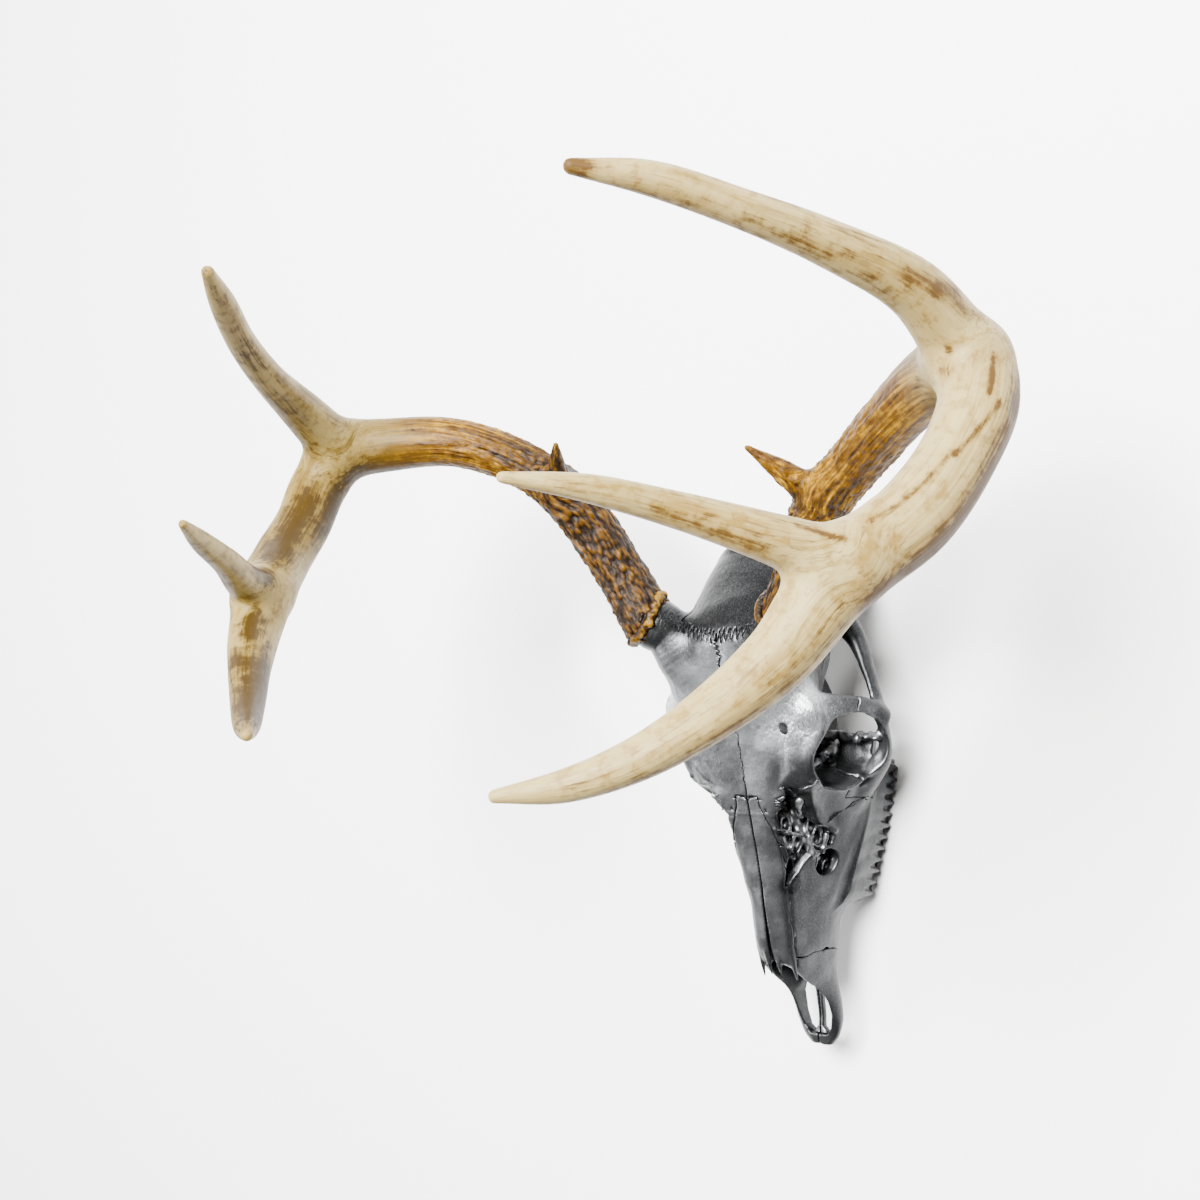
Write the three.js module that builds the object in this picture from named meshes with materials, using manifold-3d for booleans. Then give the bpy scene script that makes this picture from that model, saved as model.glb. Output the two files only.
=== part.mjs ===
// White-tailed deer skull with its antlers, life size, in millimetres.
// It lies on its last cheek teeth and on the two processes beside the nape, antlers up.
// Every bone is shaped in the skull's own frame: x to the deer's left, y back from the
// snout tip, z up from the chewing plane. The group at the end tips it back onto the floor.
import * as THREE from 'three';
import { mergeVertices } from 'three/addons/utils/BufferGeometryUtils.js';
import Module from 'manifold-3d';

const wasm = await Module();
wasm.setup();

// Driving dimensions
const skullLength = 277;
const seam = 0.3;
const halfSeam = seam / 2;
const restingTilt = 8.8;
const lastToothContact = { y: 155, z: 3.5 };
const reach = 400;
const loftSides = 20;
const rodSides = 8;
const weldDistance = 1e-4;

// Heights of the skull's top line, from the nasal tips to the nape
const topLine = profile([
  [0, 8], [20, 24], [44, 58], [50, 61.5], [75, 70], [100, 77.5], [134, 90.5], [163, 100.3],
  [185, 110], [205, 120.5], [216, 124.5], [232, 118], [250, 105.5], [265, 96], [skullLength, 86],
]);

// Face: the snout, the cheeks and the walls of the nose
const face = {
  from: 2,
  to: 170,
  steps: 19,
  roof: profile([
    [0, 9], [14, 14], [30, 30], [44, 46], [50, 59], [75, 69], [100, 76.5], [134, 89.5], [170, 101],
  ]),
  shoulder: [
    profile([[0, 3], [14, 6.5], [30, 8.5], [50, 10.5], [80, 11.5], [122, 17], [140, 26], [170, 33]]),
    profile([[0, 8], [14, 14], [30, 27], [50, 55], [80, 66], [122, 83], [140, 89], [170, 98]]),
  ],
  wide: [
    profile([
      [0, 4.5], [8, 11], [20, 13.5], [40, 14], [60, 17],
      [80, 21], [105, 27.5], [130, 36], [148, 45], [170, 51],
    ]),
    profile([[0, 6], [20, 12], [40, 22], [60, 30], [80, 35], [105, 40], [130, 45], [148, 47], [170, 50]]),
  ],
  low: [
    profile([[0, 4], [8, 9.5], [20, 12], [45, 12], [70, 15], [88, 21], [110, 26.5], [140, 32], [170, 30]]),
    profile([[0, 3], [20, 5], [45, 13], [70, 17], [88, 17], [140, 17], [170, 24]]),
  ],
  floor: profile([[0, 3], [20, 5], [45, 12], [70, 16], [100, 17], [140, 19], [170, 30]]),
};

// Cranium: forehead, roof over the eyes, braincase and nape
const cranium = {
  from: 128,
  to: skullLength,
  steps: 16,
  roof: topLine,
  shoulder: [
    profile([
      [128, 20], [145, 31], [164, 36], [182, 37], [200, 31], [216, 27], [240, 23.5], [262, 21], [277, 15],
    ]),
    profile([
      [128, 84], [145, 91.5], [164, 99.5], [182, 106], [200, 114],
      [216, 118], [240, 107], [262, 93], [277, 82],
    ]),
  ],
  wide: [
    profile([
      [128, 25], [145, 40], [164, 47], [178, 50], [190, 41],
      [203, 35], [220, 35.5], [240, 36], [262, 33], [277, 24],
    ]),
    profile([
      [128, 76], [145, 83], [164, 94], [178, 95], [190, 98],
      [203, 98], [220, 92], [240, 86], [262, 76], [277, 70],
    ]),
  ],
  low: [
    profile([
      [128, 20], [145, 24], [164, 22], [182, 24], [200, 30], [220, 34], [240, 34], [262, 33], [277, 18],
    ]),
    profile([
      [128, 60], [145, 62], [164, 64], [182, 64], [200, 66], [220, 66], [240, 64], [262, 60], [277, 58],
    ]),
  ],
  floor: profile([[128, 52], [145, 50], [164, 46], [182, 44], [220, 43], [250, 44], [277, 50]]),
};

// Nose cavity, open at the snout, under the nasals and between the cheek walls
const noseCavity = {
  from: 8,
  to: 150,
  steps: 11,
  roof: profile([[8, 40], [44, 62], [52, 56], [75, 64.5], [100, 71], [134, 80], [150, 80]]),
  shoulder: [
    profile([[8, 4], [30, 6.5], [50, 8], [80, 9], [122, 13], [150, 12]]),
    profile([[8, 36], [30, 44], [50, 52], [80, 61.5], [122, 74], [150, 74]]),
  ],
  wide: [
    profile([[8, 7], [20, 10], [40, 10.5], [60, 11.5], [80, 14], [105, 21], [130, 24], [150, 16]]),
    profile([[8, 20], [20, 24], [40, 28], [60, 34], [80, 40], [105, 46], [130, 54], [150, 60]]),
  ],
  low: [
    profile([[8, 5], [20, 8], [45, 7], [70, 9], [88, 12], [130, 15], [150, 10]]),
    profile([[8, 9], [20, 11], [45, 17], [70, 20], [88, 22], [130, 27], [150, 45]]),
  ],
  floor: profile([[8, 8.5], [20, 9.5], [45, 16], [70, 20], [100, 21], [130, 26], [150, 44]]),
};

// Eye socket, cheek arch, pedicle and nape
const orbit = {
  centre: [48.5, 162, 73.4],
  halfLength: 20.5,
  halfHeight: 22,
  depth: 30,
  tiltUp: 17,
  turnForward: 21,
};
const rimRing = { thickness: 3.2, tubeShare: 0.14, outset: 1, sunk: 1.5 };
const archPath = [[33, 138, 40], [46, 150, 43], [55.5, 162, 47.5], [57, 176, 52], [54.5, 192, 56],
  [50, 207, 58.5], [44, 222, 61], [35, 234, 66]];
const archHalfHeight = profile([[0, 9], [0.2, 7], [0.4, 5], [0.6, 5], [0.8, 6], [1, 8]]);
const archHalfWidth = profile([[0, 7], [0.2, 5], [0.4, 3], [0.6, 2.6], [0.8, 4], [1, 8]]);
const barPath = [[40, 182, 98], [48, 186, 88], [53.5, 187.5, 76], [56.5, 186, 62], [57.5, 182, 52]];
const barRadius = profile([[0, 9], [0.3, 6], [0.6, 4.2], [1, 4.5]]);
const pedicleNormal = new THREE.Vector3(0.64, 0.46, 0.61).normalize();
const pedicleRadius = profile([[0, 19], [0.45, 15.5], [0.8, 13.6], [1, 14.2]]);
const pedicleRoot = [[22, 198, 98], [29, 208, 109]];
const pedicleStraight = 7;
const condyle = { x: 13, y: 276, z: 57, size: [8, 8, 12] };
const bulla = { x: 21, y: 238, z: 37, size: [8, 12, 9] };
const earTube = { path: [[22, 238, 44], [34, 236, 47], [43, 233, 49]], radius: 5.5 };
const napeHole = { y: skullLength + 4, z: 67, size: [12, 24, 10] };
const napeProcess = {
  path: [[33, 252, 66], [32, 256, 45], [30, 258, 30], [28, 258, 19]],
  halfWidth: 3.6,
  halfDepth: profile([[0, 10], [0.5, 6], [1, 3]]),
};
const palatePlate = {
  path: [[12, 140, 28], [11, 165, 30], [11, 185, 34], [12, 200, 44]],
  halfWidth: 2.2,
  halfHeight: profile([[0, 12], [0.4, 12], [0.8, 10], [1, 6]]),
};

// Cheek teeth: three premolars and three molars in each row
const toothRow = {
  front: 84,
  length: 76,
  count: 6,
  frontX: 20,
  backX: 33.5,
  alveolarZ: 17,
  crownZ: 3.2,
  sunk: 6,
  taper: 0.88,
  bow: 3,
};
const molar = { first: 3, halfWidth: 7.4, lobeShare: 0.33, lobes: [-0.25, 0.25] };
const premolar = { halfWidth: 5.4, growth: 0.7, lobeShare: 0.58, lobes: [0] };

// Antlers, seen on the deer's left; the right one mirrors them and leans back a little
const burrCentre = [43.6, 226, 125.5];
const burr = {
  radius: 17.6,
  thickness: 8,
  bevel: 2.4,
  flatShare: 0.4,
  lumps: 11,
  lumpHeight: 0.9,
  sides: 24,
};
const burrSeat = 4.6;
const antlerLean = [0, 9, 2];
const beamPath = [
  { at: burrCentre, radius: 14 },
  { at: [56, 248, 132.5], radius: 13.3 },
  { at: [67, 268, 143], radius: 13.2, lean: 0.2 },
  { at: [79, 283, 155], radius: 13.2, lean: 0.8 },
  { at: [103, 298, 170], radius: 12.3, lean: 1.1 },
  { at: [131, 309, 188], radius: 13, lean: 0.9 },
  { at: [160, 313, 206], radius: 14.2, lean: 0.3 },
  { at: [184, 309, 223], radius: 15.8 },
  { at: [192, 291, 231], radius: 15.2 },
  { at: [189.5, 268, 242], radius: 14.6 },
  { at: [181.5, 244, 260], radius: 15, lean: 0.2 },
  { at: [164, 221, 282], radius: 14.8, lean: 0.3 },
  { at: [149, 195, 297], radius: 12.3, lean: 0.7 },
  { at: [130, 175, 312], radius: 10, lean: 0.95 },
  { at: [110.5, 159, 326], radius: 8.2, lean: 1 },
  { at: [90, 148, 341], radius: 6, lean: 1 },
  { at: [69.6, 142.8, 356], radius: 2, lean: 1 },
];
const browFork = 0.15;
const secondFork = 0.475;
const thirdFork = 0.7;
const pastFork = 0.03;
const beamSides = 12;
const tineSides = 8;
const browTine = [
  { at: [79, 283, 156], radius: 10, lean: 0.8 },
  { at: [74, 288, 166], radius: 7, lean: 0.8 },
  { at: [68, 293, 175], radius: 5.2, lean: 0.7 },
  { at: [57.8, 302, 189], radius: 1.4, lean: 0.7 },
];
const secondTine = [
  { at: [184, 312, 226], radius: 14 },
  { at: [178, 327, 257], radius: 11.2, lean: -0.3 },
  { at: [162, 335.5, 293], radius: 8.6, lean: -0.4 },
  { at: [144, 343, 324], radius: 7, lean: -0.3 },
  { at: [124, 350, 350], radius: 5.4, lean: -0.2 },
  { at: [104.3, 353.8, 372.8], radius: 1.8 },
];
const thirdTine = [
  { at: [167, 223, 281], radius: 12 },
  { at: [148, 228.5, 309], radius: 8.6, lean: -0.2 },
  { at: [128, 234, 334], radius: 6.6, lean: -0.3 },
  { at: [110.4, 238, 360], radius: 4.8, lean: -0.3 },
  { at: [91.6, 240, 383], radius: 1.5, lean: -0.2 },
];

// Finishes
const silver = { color: 0x8f9296, roughness: 0.42, metalness: 0.7 };
const paleAntler = { color: 0xd9cba6, roughness: 0.6, metalness: 0 };
const tanAntler = { color: 0xb49560, roughness: 0.62, metalness: 0 };
const darkAntler = { color: 0x6b4423, roughness: 0.75, metalness: 0 };

// Smooth curve of one value through a few knots
function profile(knots) {
  const last = knots.length - 1;
  const slope = knots.map((knot, i) => {
    const before = knots[Math.max(i - 1, 0)];
    const after = knots[Math.min(i + 1, last)];
    return (after[1] - before[1]) / (after[0] - before[0]);
  });
  return (at) => {
    const x = Math.min(Math.max(at, knots[0][0]), knots[last][0]);
    let i = 0;
    while (i < last - 1 && x > knots[i + 1][0]) i += 1;
    const span = knots[i + 1][0] - knots[i][0];
    const t = (x - knots[i][0]) / span;
    const ease = t * t * (3 - 2 * t);
    const leave = t * (1 - t) * (1 - t) * span * slope[i];
    const arrive = t * t * (1 - t) * span * slope[i + 1];
    return knots[i][1] * (1 - ease) + knots[i + 1][1] * ease + leave - arrive;
  };
}

// Closed body through rings of points that all have the same count
function skin(rings) {
  const sides = rings[0].length;
  const positions = [];
  const index = [];
  for (const ring of rings) {
    for (const point of ring) positions.push(point.x, point.y, point.z);
  }
  for (let r = 0; r < rings.length - 1; r += 1) {
    for (let s = 0; s < sides; s += 1) {
      const a = r * sides + s;
      const b = r * sides + ((s + 1) % sides);
      index.push(a, b, b + sides, a, b + sides, a + sides);
    }
  }
  for (const [ring, flip] of [[0, true], [rings.length - 1, false]]) {
    const middle = rings[ring].reduce((sum, point) => sum.add(point), new THREE.Vector3());
    middle.divideScalar(sides);
    const hub = positions.length / 3;
    positions.push(middle.x, middle.y, middle.z);
    for (let s = 0; s < sides; s += 1) {
      const a = ring * sides + s;
      const b = ring * sides + ((s + 1) % sides);
      if (flip) index.push(hub, b, a);
      else index.push(hub, a, b);
    }
  }
  const geometry = new THREE.BufferGeometry();
  geometry.setAttribute('position', new THREE.Float32BufferAttribute(positions, 3));
  geometry.setIndex(index);
  return geometry;
}

// Solid for joining and cutting, turned right side out if its rings ran the other way
function solid(geometry) {
  const bare = geometry.clone();
  bare.deleteAttribute('normal');
  bare.deleteAttribute('uv');
  const merged = mergeVertices(bare, weldDistance);
  const vertProperties = new Float32Array(merged.getAttribute('position').array);
  const triVerts = new Uint32Array(merged.getIndex().array);
  let volume = 0;
  const corner = [0, 1, 2].map(() => new THREE.Vector3());
  for (let t = 0; t < triVerts.length; t += 3) {
    corner.forEach((point, i) => point.fromArray(vertProperties, triVerts[t + i] * 3));
    volume += corner[0].dot(corner[1].clone().cross(corner[2]));
  }
  if (volume < 0) {
    for (let t = 0; t < triVerts.length; t += 3) {
      [triVerts[t + 1], triVerts[t + 2]] = [triVerts[t + 2], triVerts[t + 1]];
    }
  }
  return new wasm.Manifold(new wasm.Mesh({ numProp: 3, vertProperties, triVerts }));
}

// Loft along the skull from profiles of its half section
function loft(shape) {
  const rings = [];
  for (let i = 0; i <= shape.steps; i += 1) {
    const y = THREE.MathUtils.lerp(shape.from, shape.to, i / shape.steps);
    const half = [
      [0, shape.roof(y)],
      [shape.shoulder[0](y), shape.shoulder[1](y)],
      [shape.wide[0](y), shape.wide[1](y)],
      [shape.low[0](y), shape.low[1](y)],
      [0, shape.floor(y)],
    ];
    const around = half.concat(half.slice(1, 4).reverse().map(([x, z]) => [-x, z]));
    const curve = new THREE.CatmullRomCurve3(
      around.map(([x, z]) => new THREE.Vector3(x, y, z)), true, 'centripetal');
    const ring = [];
    for (let s = 0; s < loftSides; s += 1) ring.push(curve.getPoint(s / loftSides));
    rings.push(ring);
  }
  return skin(rings);
}

// Smooth open curve through points
function openCurve(points) {
  const knots = points.map((p) => new THREE.Vector3(...p));
  const curve = new THREE.CatmullRomCurve3(knots, false, 'centripetal');
  curve.arcLengthDivisions = 400;
  return curve;
}

// Rod of changing round section along a curve, between two shares of its length
function rod(points, radius, sides, steps, start = 0, end = 1) {
  const curve = openCurve(points);
  const fine = 8;
  const frames = curve.computeFrenetFrames(steps * fine, false);
  const rings = [];
  for (let i = 0; i <= steps; i += 1) {
    const share = THREE.MathUtils.lerp(start, end, i / steps);
    const centre = curve.getPointAt(share);
    const tangent = curve.getTangentAt(share);
    const nearest = frames.normals[Math.round(share * steps * fine)];
    const side = nearest.clone().addScaledVector(tangent, -nearest.dot(tangent)).normalize();
    const rise = tangent.clone().cross(side);
    const ring = [];
    for (let s = 0; s < sides; s += 1) {
      const angle = (s / sides) * Math.PI * 2;
      const point = centre.clone();
      point.addScaledVector(side, Math.cos(angle) * radius(share));
      point.addScaledVector(rise, Math.sin(angle) * radius(share));
      ring.push(point);
    }
    rings.push(ring);
  }
  return skin(rings);
}

// Rod with its section kept upright, for the flat bones of the cheek
function strap(points, halfWidth, halfHeight, steps) {
  const curve = openCurve(points);
  const up = new THREE.Vector3(0, 0, 1);
  const rings = [];
  for (let i = 0; i <= steps; i += 1) {
    const share = i / steps;
    const tangent = curve.getTangentAt(share);
    const side = tangent.clone().cross(up).normalize();
    const rise = side.clone().cross(tangent);
    const ring = [];
    for (let s = 0; s < rodSides; s += 1) {
      const angle = (s / rodSides) * Math.PI * 2;
      const point = curve.getPointAt(share);
      point.addScaledVector(side, Math.cos(angle) * halfWidth(share));
      point.addScaledVector(rise, Math.sin(angle) * halfHeight(share));
      ring.push(point);
    }
    rings.push(ring);
  }
  return skin(rings);
}

// Egg shape with three half sizes
function egg([x, y, z], [a, b, c], segments = 16) {
  const geometry = new THREE.SphereGeometry(1, segments, segments / 2);
  geometry.scale(a, b, c);
  geometry.translate(x, y, z);
  return geometry;
}

// Block between two corners
function block(low, high) {
  const geometry = new THREE.BoxGeometry(high[0] - low[0], high[1] - low[1], high[2] - low[2]);
  geometry.translate((low[0] + high[0]) / 2, (low[1] + high[1]) / 2, (low[2] + high[2]) / 2);
  return geometry;
}

// Outline moved outwards by a distance, or inwards where the distance is negative
function offsetOutline(points, distance) {
  const sharpest = 0.4;
  const count = points.length;
  let area = 0;
  for (let i = 0; i < count; i += 1) {
    const [ax, ay] = points[i];
    const [bx, by] = points[(i + 1) % count];
    area += ax * by - bx * ay;
  }
  const way = Math.sign(area);
  return points.map((point, i) => {
    const before = points[(i + count - 1) % count];
    const after = points[(i + 1) % count];
    const a = new THREE.Vector2(point[0] - before[0], point[1] - before[1]).normalize();
    const b = new THREE.Vector2(after[0] - point[0], after[1] - point[1]).normalize();
    const out = new THREE.Vector2((a.y + b.y) * way, -(a.x + b.x) * way).normalize();
    const spread = Math.max(sharpest, out.dot(new THREE.Vector2(a.y * way, -a.x * way)));
    return [point[0] + (out.x * distance) / spread, point[1] + (out.y * distance) / spread];
  });
}

// Prism of an outline drawn in plan (x, y) or in side view (y, z)
function prism(points, from, to, view) {
  const shape = new THREE.Shape(points.map(([a, b]) => new THREE.Vector2(a, b)));
  const geometry = new THREE.ExtrudeGeometry(shape, { depth: to - from, bevelEnabled: false });
  geometry.translate(0, 0, from);
  if (view === 'side') {
    const turn = new THREE.Matrix4();
    turn.set(0, 0, 1, 0, 1, 0, 0, 0, 0, 1, 0, 0, 0, 0, 0, 1);
    geometry.applyMatrix4(turn);
  }
  return solid(geometry);
}

function join(pieces) {
  return pieces.reduce((sum, piece) => sum.add(piece));
}

// Largest closed surface of a solid
function mainBody(piece) {
  let best = null;
  for (const part of piece.decompose()) {
    if (!best || part.volume() > best.volume()) best = part;
  }
  return best;
}

// Both halves of a pair, from the one on the left
function flipped(geometry) {
  const other = geometry.clone();
  other.scale(-1, 1, 1);
  const index = other.getIndex();
  for (let t = 0; t < index.count; t += 3) {
    const b = index.getX(t + 1);
    index.setX(t + 1, index.getX(t + 2));
    index.setX(t + 2, b);
  }
  return other;
}

function pair(geometry) {
  return solid(geometry).add(solid(flipped(geometry.index ? geometry : mergeVertices(geometry))));
}

// A shape turned and moved to sit in the eye socket's opening
function atOrbit(geometry) {
  geometry.rotateY(-THREE.MathUtils.degToRad(orbit.tiltUp));
  geometry.rotateZ(-THREE.MathUtils.degToRad(orbit.turnForward));
  geometry.translate(...orbit.centre);
  return geometry;
}

// Eye socket cut: a rounded bowl that opens outwards, forwards and a little up
function orbitCut() {
  return atOrbit(egg([0, 0, 0], [orbit.depth, orbit.halfLength, orbit.halfHeight]));
}

// Raised rim round the eye socket
function orbitRim() {
  const { thickness, tubeShare, outset, sunk } = rimRing;
  const rim = new THREE.TorusGeometry(1, tubeShare, 6, 18);
  rim.rotateY(Math.PI / 2);
  rim.scale(thickness / tubeShare, orbit.halfLength + outset, orbit.halfHeight + outset);
  rim.translate(-sunk, 0, 0);
  return atOrbit(rim);
}

// Bony stalk that carries the antler, ending square under the burr
function pedicle(grow = 0) {
  const end = new THREE.Vector3(...burrCentre).addScaledVector(pedicleNormal, -burrSeat - seam);
  const before = end.clone().addScaledVector(pedicleNormal, -pedicleStraight);
  const points = [...pedicleRoot, before.toArray(), end.toArray()];
  return rod(points, (share) => pedicleRadius(share) + grow, 16, 6);
}

// Cheek teeth in a gently bowed row, each sunk in the jaw, the molars with two lobes
function teeth() {
  const crowns = [];
  const pitch = toothRow.length / toothRow.count;
  const rootZ = toothRow.alveolarZ + toothRow.sunk;
  const turn = Math.atan2(toothRow.backX - toothRow.frontX, toothRow.length);
  for (let i = 0; i < toothRow.count; i += 1) {
    const share = (i + 0.5) / toothRow.count;
    const kind = i >= molar.first ? molar : premolar;
    const y = toothRow.front + toothRow.length * share;
    const inwards = toothRow.bow * (share - 0.5) ** 2;
    const x = THREE.MathUtils.lerp(toothRow.frontX, toothRow.backX, share) - inwards;
    const width = kind === molar ? molar.halfWidth : premolar.halfWidth + i * premolar.growth;
    for (const lobe of kind.lobes) {
      const crown = new THREE.CylinderGeometry(1, toothRow.taper, rootZ - toothRow.crownZ, rodSides);
      crown.rotateY(Math.PI / rodSides);
      crown.rotateX(Math.PI / 2);
      crown.scale(width, pitch * kind.lobeShare, 1);
      crown.rotateZ(-turn);
      crown.translate(x, y + lobe * pitch, (rootZ + toothRow.crownZ) / 2);
      crowns.push(pair(crown));
    }
  }
  return join(crowns);
}

// Whole skull before it is parted into its bones
function wholeSkull() {
  const bones = [
    solid(loft(face)),
    solid(loft(cranium)),
    pair(strap(archPath, archHalfWidth, archHalfHeight, 13)),
    pair(rod(barPath, barRadius, rodSides, 6)),
    pair(orbitRim()),
    pair(pedicle()),
    teeth(),
    pair(egg([condyle.x, condyle.y, condyle.z], condyle.size, 12)),
    pair(egg([bulla.x, bulla.y, bulla.z], bulla.size, 12)),
    pair(rod(earTube.path, () => earTube.radius, rodSides, 3)),
    pair(strap(napeProcess.path, () => napeProcess.halfWidth, napeProcess.halfDepth, 8)),
    pair(strap(palatePlate.path, () => palatePlate.halfWidth, palatePlate.halfHeight, 8)),
  ];
  return join(bones);
}

// Everything under the plane that the last teeth and the nape processes rest on
function belowFloor() {
  const slab = block([-reach, -reach, -reach], [reach, reach, 0]);
  slab.rotateX(THREE.MathUtils.degToRad(restingTilt));
  slab.translate(0, lastToothContact.y, lastToothContact.z);
  return solid(slab);
}

// Openings: eye sockets, nose, slits in the snout, windows before the eyes, nape hole
const snoutSlit = [[1.7, 12], [4.5, 9], [8, 12], [10.3, 20], [10.3, 30], [7.6, 37], [4, 40], [2, 34]];
const faceWindow = [[142, 90], [131, 87], [121, 83.5], [112, 79], [102, 73.5], [94, 69.5], [99, 66.5],
  [107, 64], [119, 61], [130, 70], [140, 84]];
const cheekHole = { at: [24, 104, 47], size: [8, 7, 6] };
const slitTop = 26;
const slitBottom = -5;
const windowFrom = 11;

function openings() {
  const across = (outline) => outline.map(([x, y]) => [-x, y]);
  const cuts = [
    pair(orbitCut()),
    solid(loft(noseCavity)),
    prism(snoutSlit, slitBottom, slitTop, 'plan'),
    prism(across(snoutSlit), slitBottom, slitTop, 'plan'),
    prism(faceWindow, windowFrom, reach, 'side'),
    prism(faceWindow, -reach, -windowFrom, 'side'),
    pair(egg(cheekHole.at, cheekHole.size, 12)),
    solid(egg([0, napeHole.y, napeHole.z], napeHole.size)),
  ];
  return join(cuts);
}

// Bone territories, drawn in side view (y, z) or in plan (x, y)
const nasalPlan = [[-1.2, 106], [1.5, 46], [4, 44.5], [6, 50], [9, 50], [10.5, 42], [11.6, 52],
  [12.2, 68], [13.6, 90], [14.6, 102], [13.6, 113],
  [11.6, 121], [7.5, 130], [6.8, 136], [2.4, 137.5], [1.2, 134.5], [-1.2, 134.5]];
const nasalSide = [[38, 48], [60, 57.5], [134, 84.5], [140, 100], [140, 130], [38, 130]];
const premaxillaSide = [[-20, -20], [55, -20], [57, 32], [53, 51], [50, 130], [-20, 130]];
const zygomaticSide = [[139, 30], [250, 30], [250, 76], [168, 76], [152, 56], [139, 56]];
const lacrimalSide = [[118, 66], [139, 44], [139, 56], [152, 56], [156, 62],
  [148, 86], [136, 90], [122, 82]];
const frontalSide = [[112, 66], [118, 66], [122, 82], [136, 90], [148, 86], [156, 62], [168, 76], [212, 76],
  [217, 100], [217, 190], [112, 190]];
const maxillaSide = [[57, 32], [55, -20], [170, -20], [170, 30], [139, 30], [139, 44], [118, 66], [112, 66],
  [112, 190], [50, 130], [53, 51]];
const pedicleSide = [[205, 104], [217, 98], [232, 104], [242, 120], [242, 190], [205, 190]];
const outerFrom = 24;

function bones() {
  const outside = join([
    solid(block([outerFrom, -reach, -reach], [reach, reach, reach])),
    solid(block([-reach, -reach, -reach], [-outerFrom, reach, reach])),
  ]);
  const leftHalf = solid(block([halfSeam, -reach, -reach], [reach, reach, reach]));
  const region = (outline, grow, view = 'side') => prism(offsetOutline(outline, grow), -reach, reach, view);
  const nasals = (grow) => {
    const left = region(nasalPlan, grow, 'plan');
    const right = region(nasalPlan.map(([x, y]) => [-x, y]), grow, 'plan');
    return left.add(right).intersect(region(nasalSide, grow));
  };
  const territories = [
    ['nasal', nasals],
    ['premaxilla', (grow) => region(premaxillaSide, grow)],
    ['zygomatic', (grow) => region(zygomaticSide, grow).intersect(outside)],
    ['lacrimal', (grow) => region(lacrimalSide, grow).intersect(outside)],
    ['frontal', (grow) => region(frontalSide, grow).add(region(pedicleSide, grow).intersect(outside))],
    ['maxilla', (grow) => region(maxillaSide, grow)],
  ];
  const found = { pairs: {} };
  let rest = mainBody(wholeSkull().subtract(openings()).subtract(belowFloor()));
  for (const [name, territory] of territories) {
    found.pairs[name] = rest.intersect(territory(-halfSeam)).intersect(leftHalf);
    rest = rest.subtract(territory(halfSeam));
  }
  found.braincase = rest;
  return found;
}

const parted = bones();
const deer = new THREE.Group();

function addMesh(name, geometry, finish) {
  const mesh = new THREE.Mesh(geometry, new THREE.MeshStandardMaterial(finish));
  mesh.name = name;
  deer.add(mesh);
}

function geometryOf(piece) {
  const mesh = piece.getMesh();
  const geometry = new THREE.BufferGeometry();
  const positions = new Float32Array((mesh.vertProperties.length / mesh.numProp) * 3);
  for (let v = 0; v < positions.length / 3; v += 1) {
    for (let k = 0; k < 3; k += 1) positions[v * 3 + k] = mesh.vertProperties[v * mesh.numProp + k];
  }
  geometry.setAttribute('position', new THREE.BufferAttribute(positions, 3));
  geometry.setIndex(new THREE.BufferAttribute(new Uint32Array(mesh.triVerts), 1));
  return geometry;
}

addMesh('braincase', geometryOf(mainBody(parted.braincase)), silver);
for (const [name, piece] of Object.entries(parted.pairs)) {
  const geometry = geometryOf(mainBody(piece));
  addMesh(`${name}_left`, geometry, silver);
  addMesh(`${name}_right`, flipped(geometry), silver);
}

// Points of one antler on a side, left 1 or right -1
function placed(path, side) {
  return path.map(({ at, lean = 0 }) => {
    const [x, y, z] = at.map((value, i) => value - side * lean * antlerLean[i]);
    return [side * x, y, z];
  });
}

function radiusAlong(path, grow = 0) {
  const points = path.map(({ at }) => new THREE.Vector3(...at));
  const run = [0];
  for (let i = 1; i < points.length; i += 1) run.push(run[i - 1] + points[i].distanceTo(points[i - 1]));
  const total = run[run.length - 1];
  return profile(path.map(({ radius }, i) => [run[i] / total, radius + grow]));
}

function beamPart(side, start, end, steps, grow = 0) {
  return rod(placed(beamPath, side), radiusAlong(beamPath, grow), beamSides, steps, start, end);
}

// Tine that meets the beam's surface with a seam between them
function tine(path, side, beam, steps) {
  return mainBody(solid(rod(placed(path, side), radiusAlong(path), tineSides, steps)).subtract(beam));
}

// Knobbly ring round the foot of the antler
function burrRing(side) {
  const rings = [];
  const half = burr.thickness / 2;
  const flat = half * burr.flatShare;
  for (const [along, out] of [[-half, -burr.bevel], [-flat, 0], [flat, 0], [half, -burr.bevel]]) {
    const ring = [];
    for (let s = 0; s < burr.sides; s += 1) {
      const angle = (s / burr.sides) * Math.PI * 2;
      const size = burr.radius + out + burr.lumpHeight * Math.sin(angle * burr.lumps);
      ring.push(new THREE.Vector3(Math.cos(angle) * size, Math.sin(angle) * size, along));
    }
    rings.push(ring);
  }
  const geometry = skin(rings);
  const upright = new THREE.Vector3(0, 0, 1);
  geometry.applyQuaternion(new THREE.Quaternion().setFromUnitVectors(upright, pedicleNormal));
  geometry.translate(...burrCentre);
  return side > 0 ? geometry : flipped(geometry);
}

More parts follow.
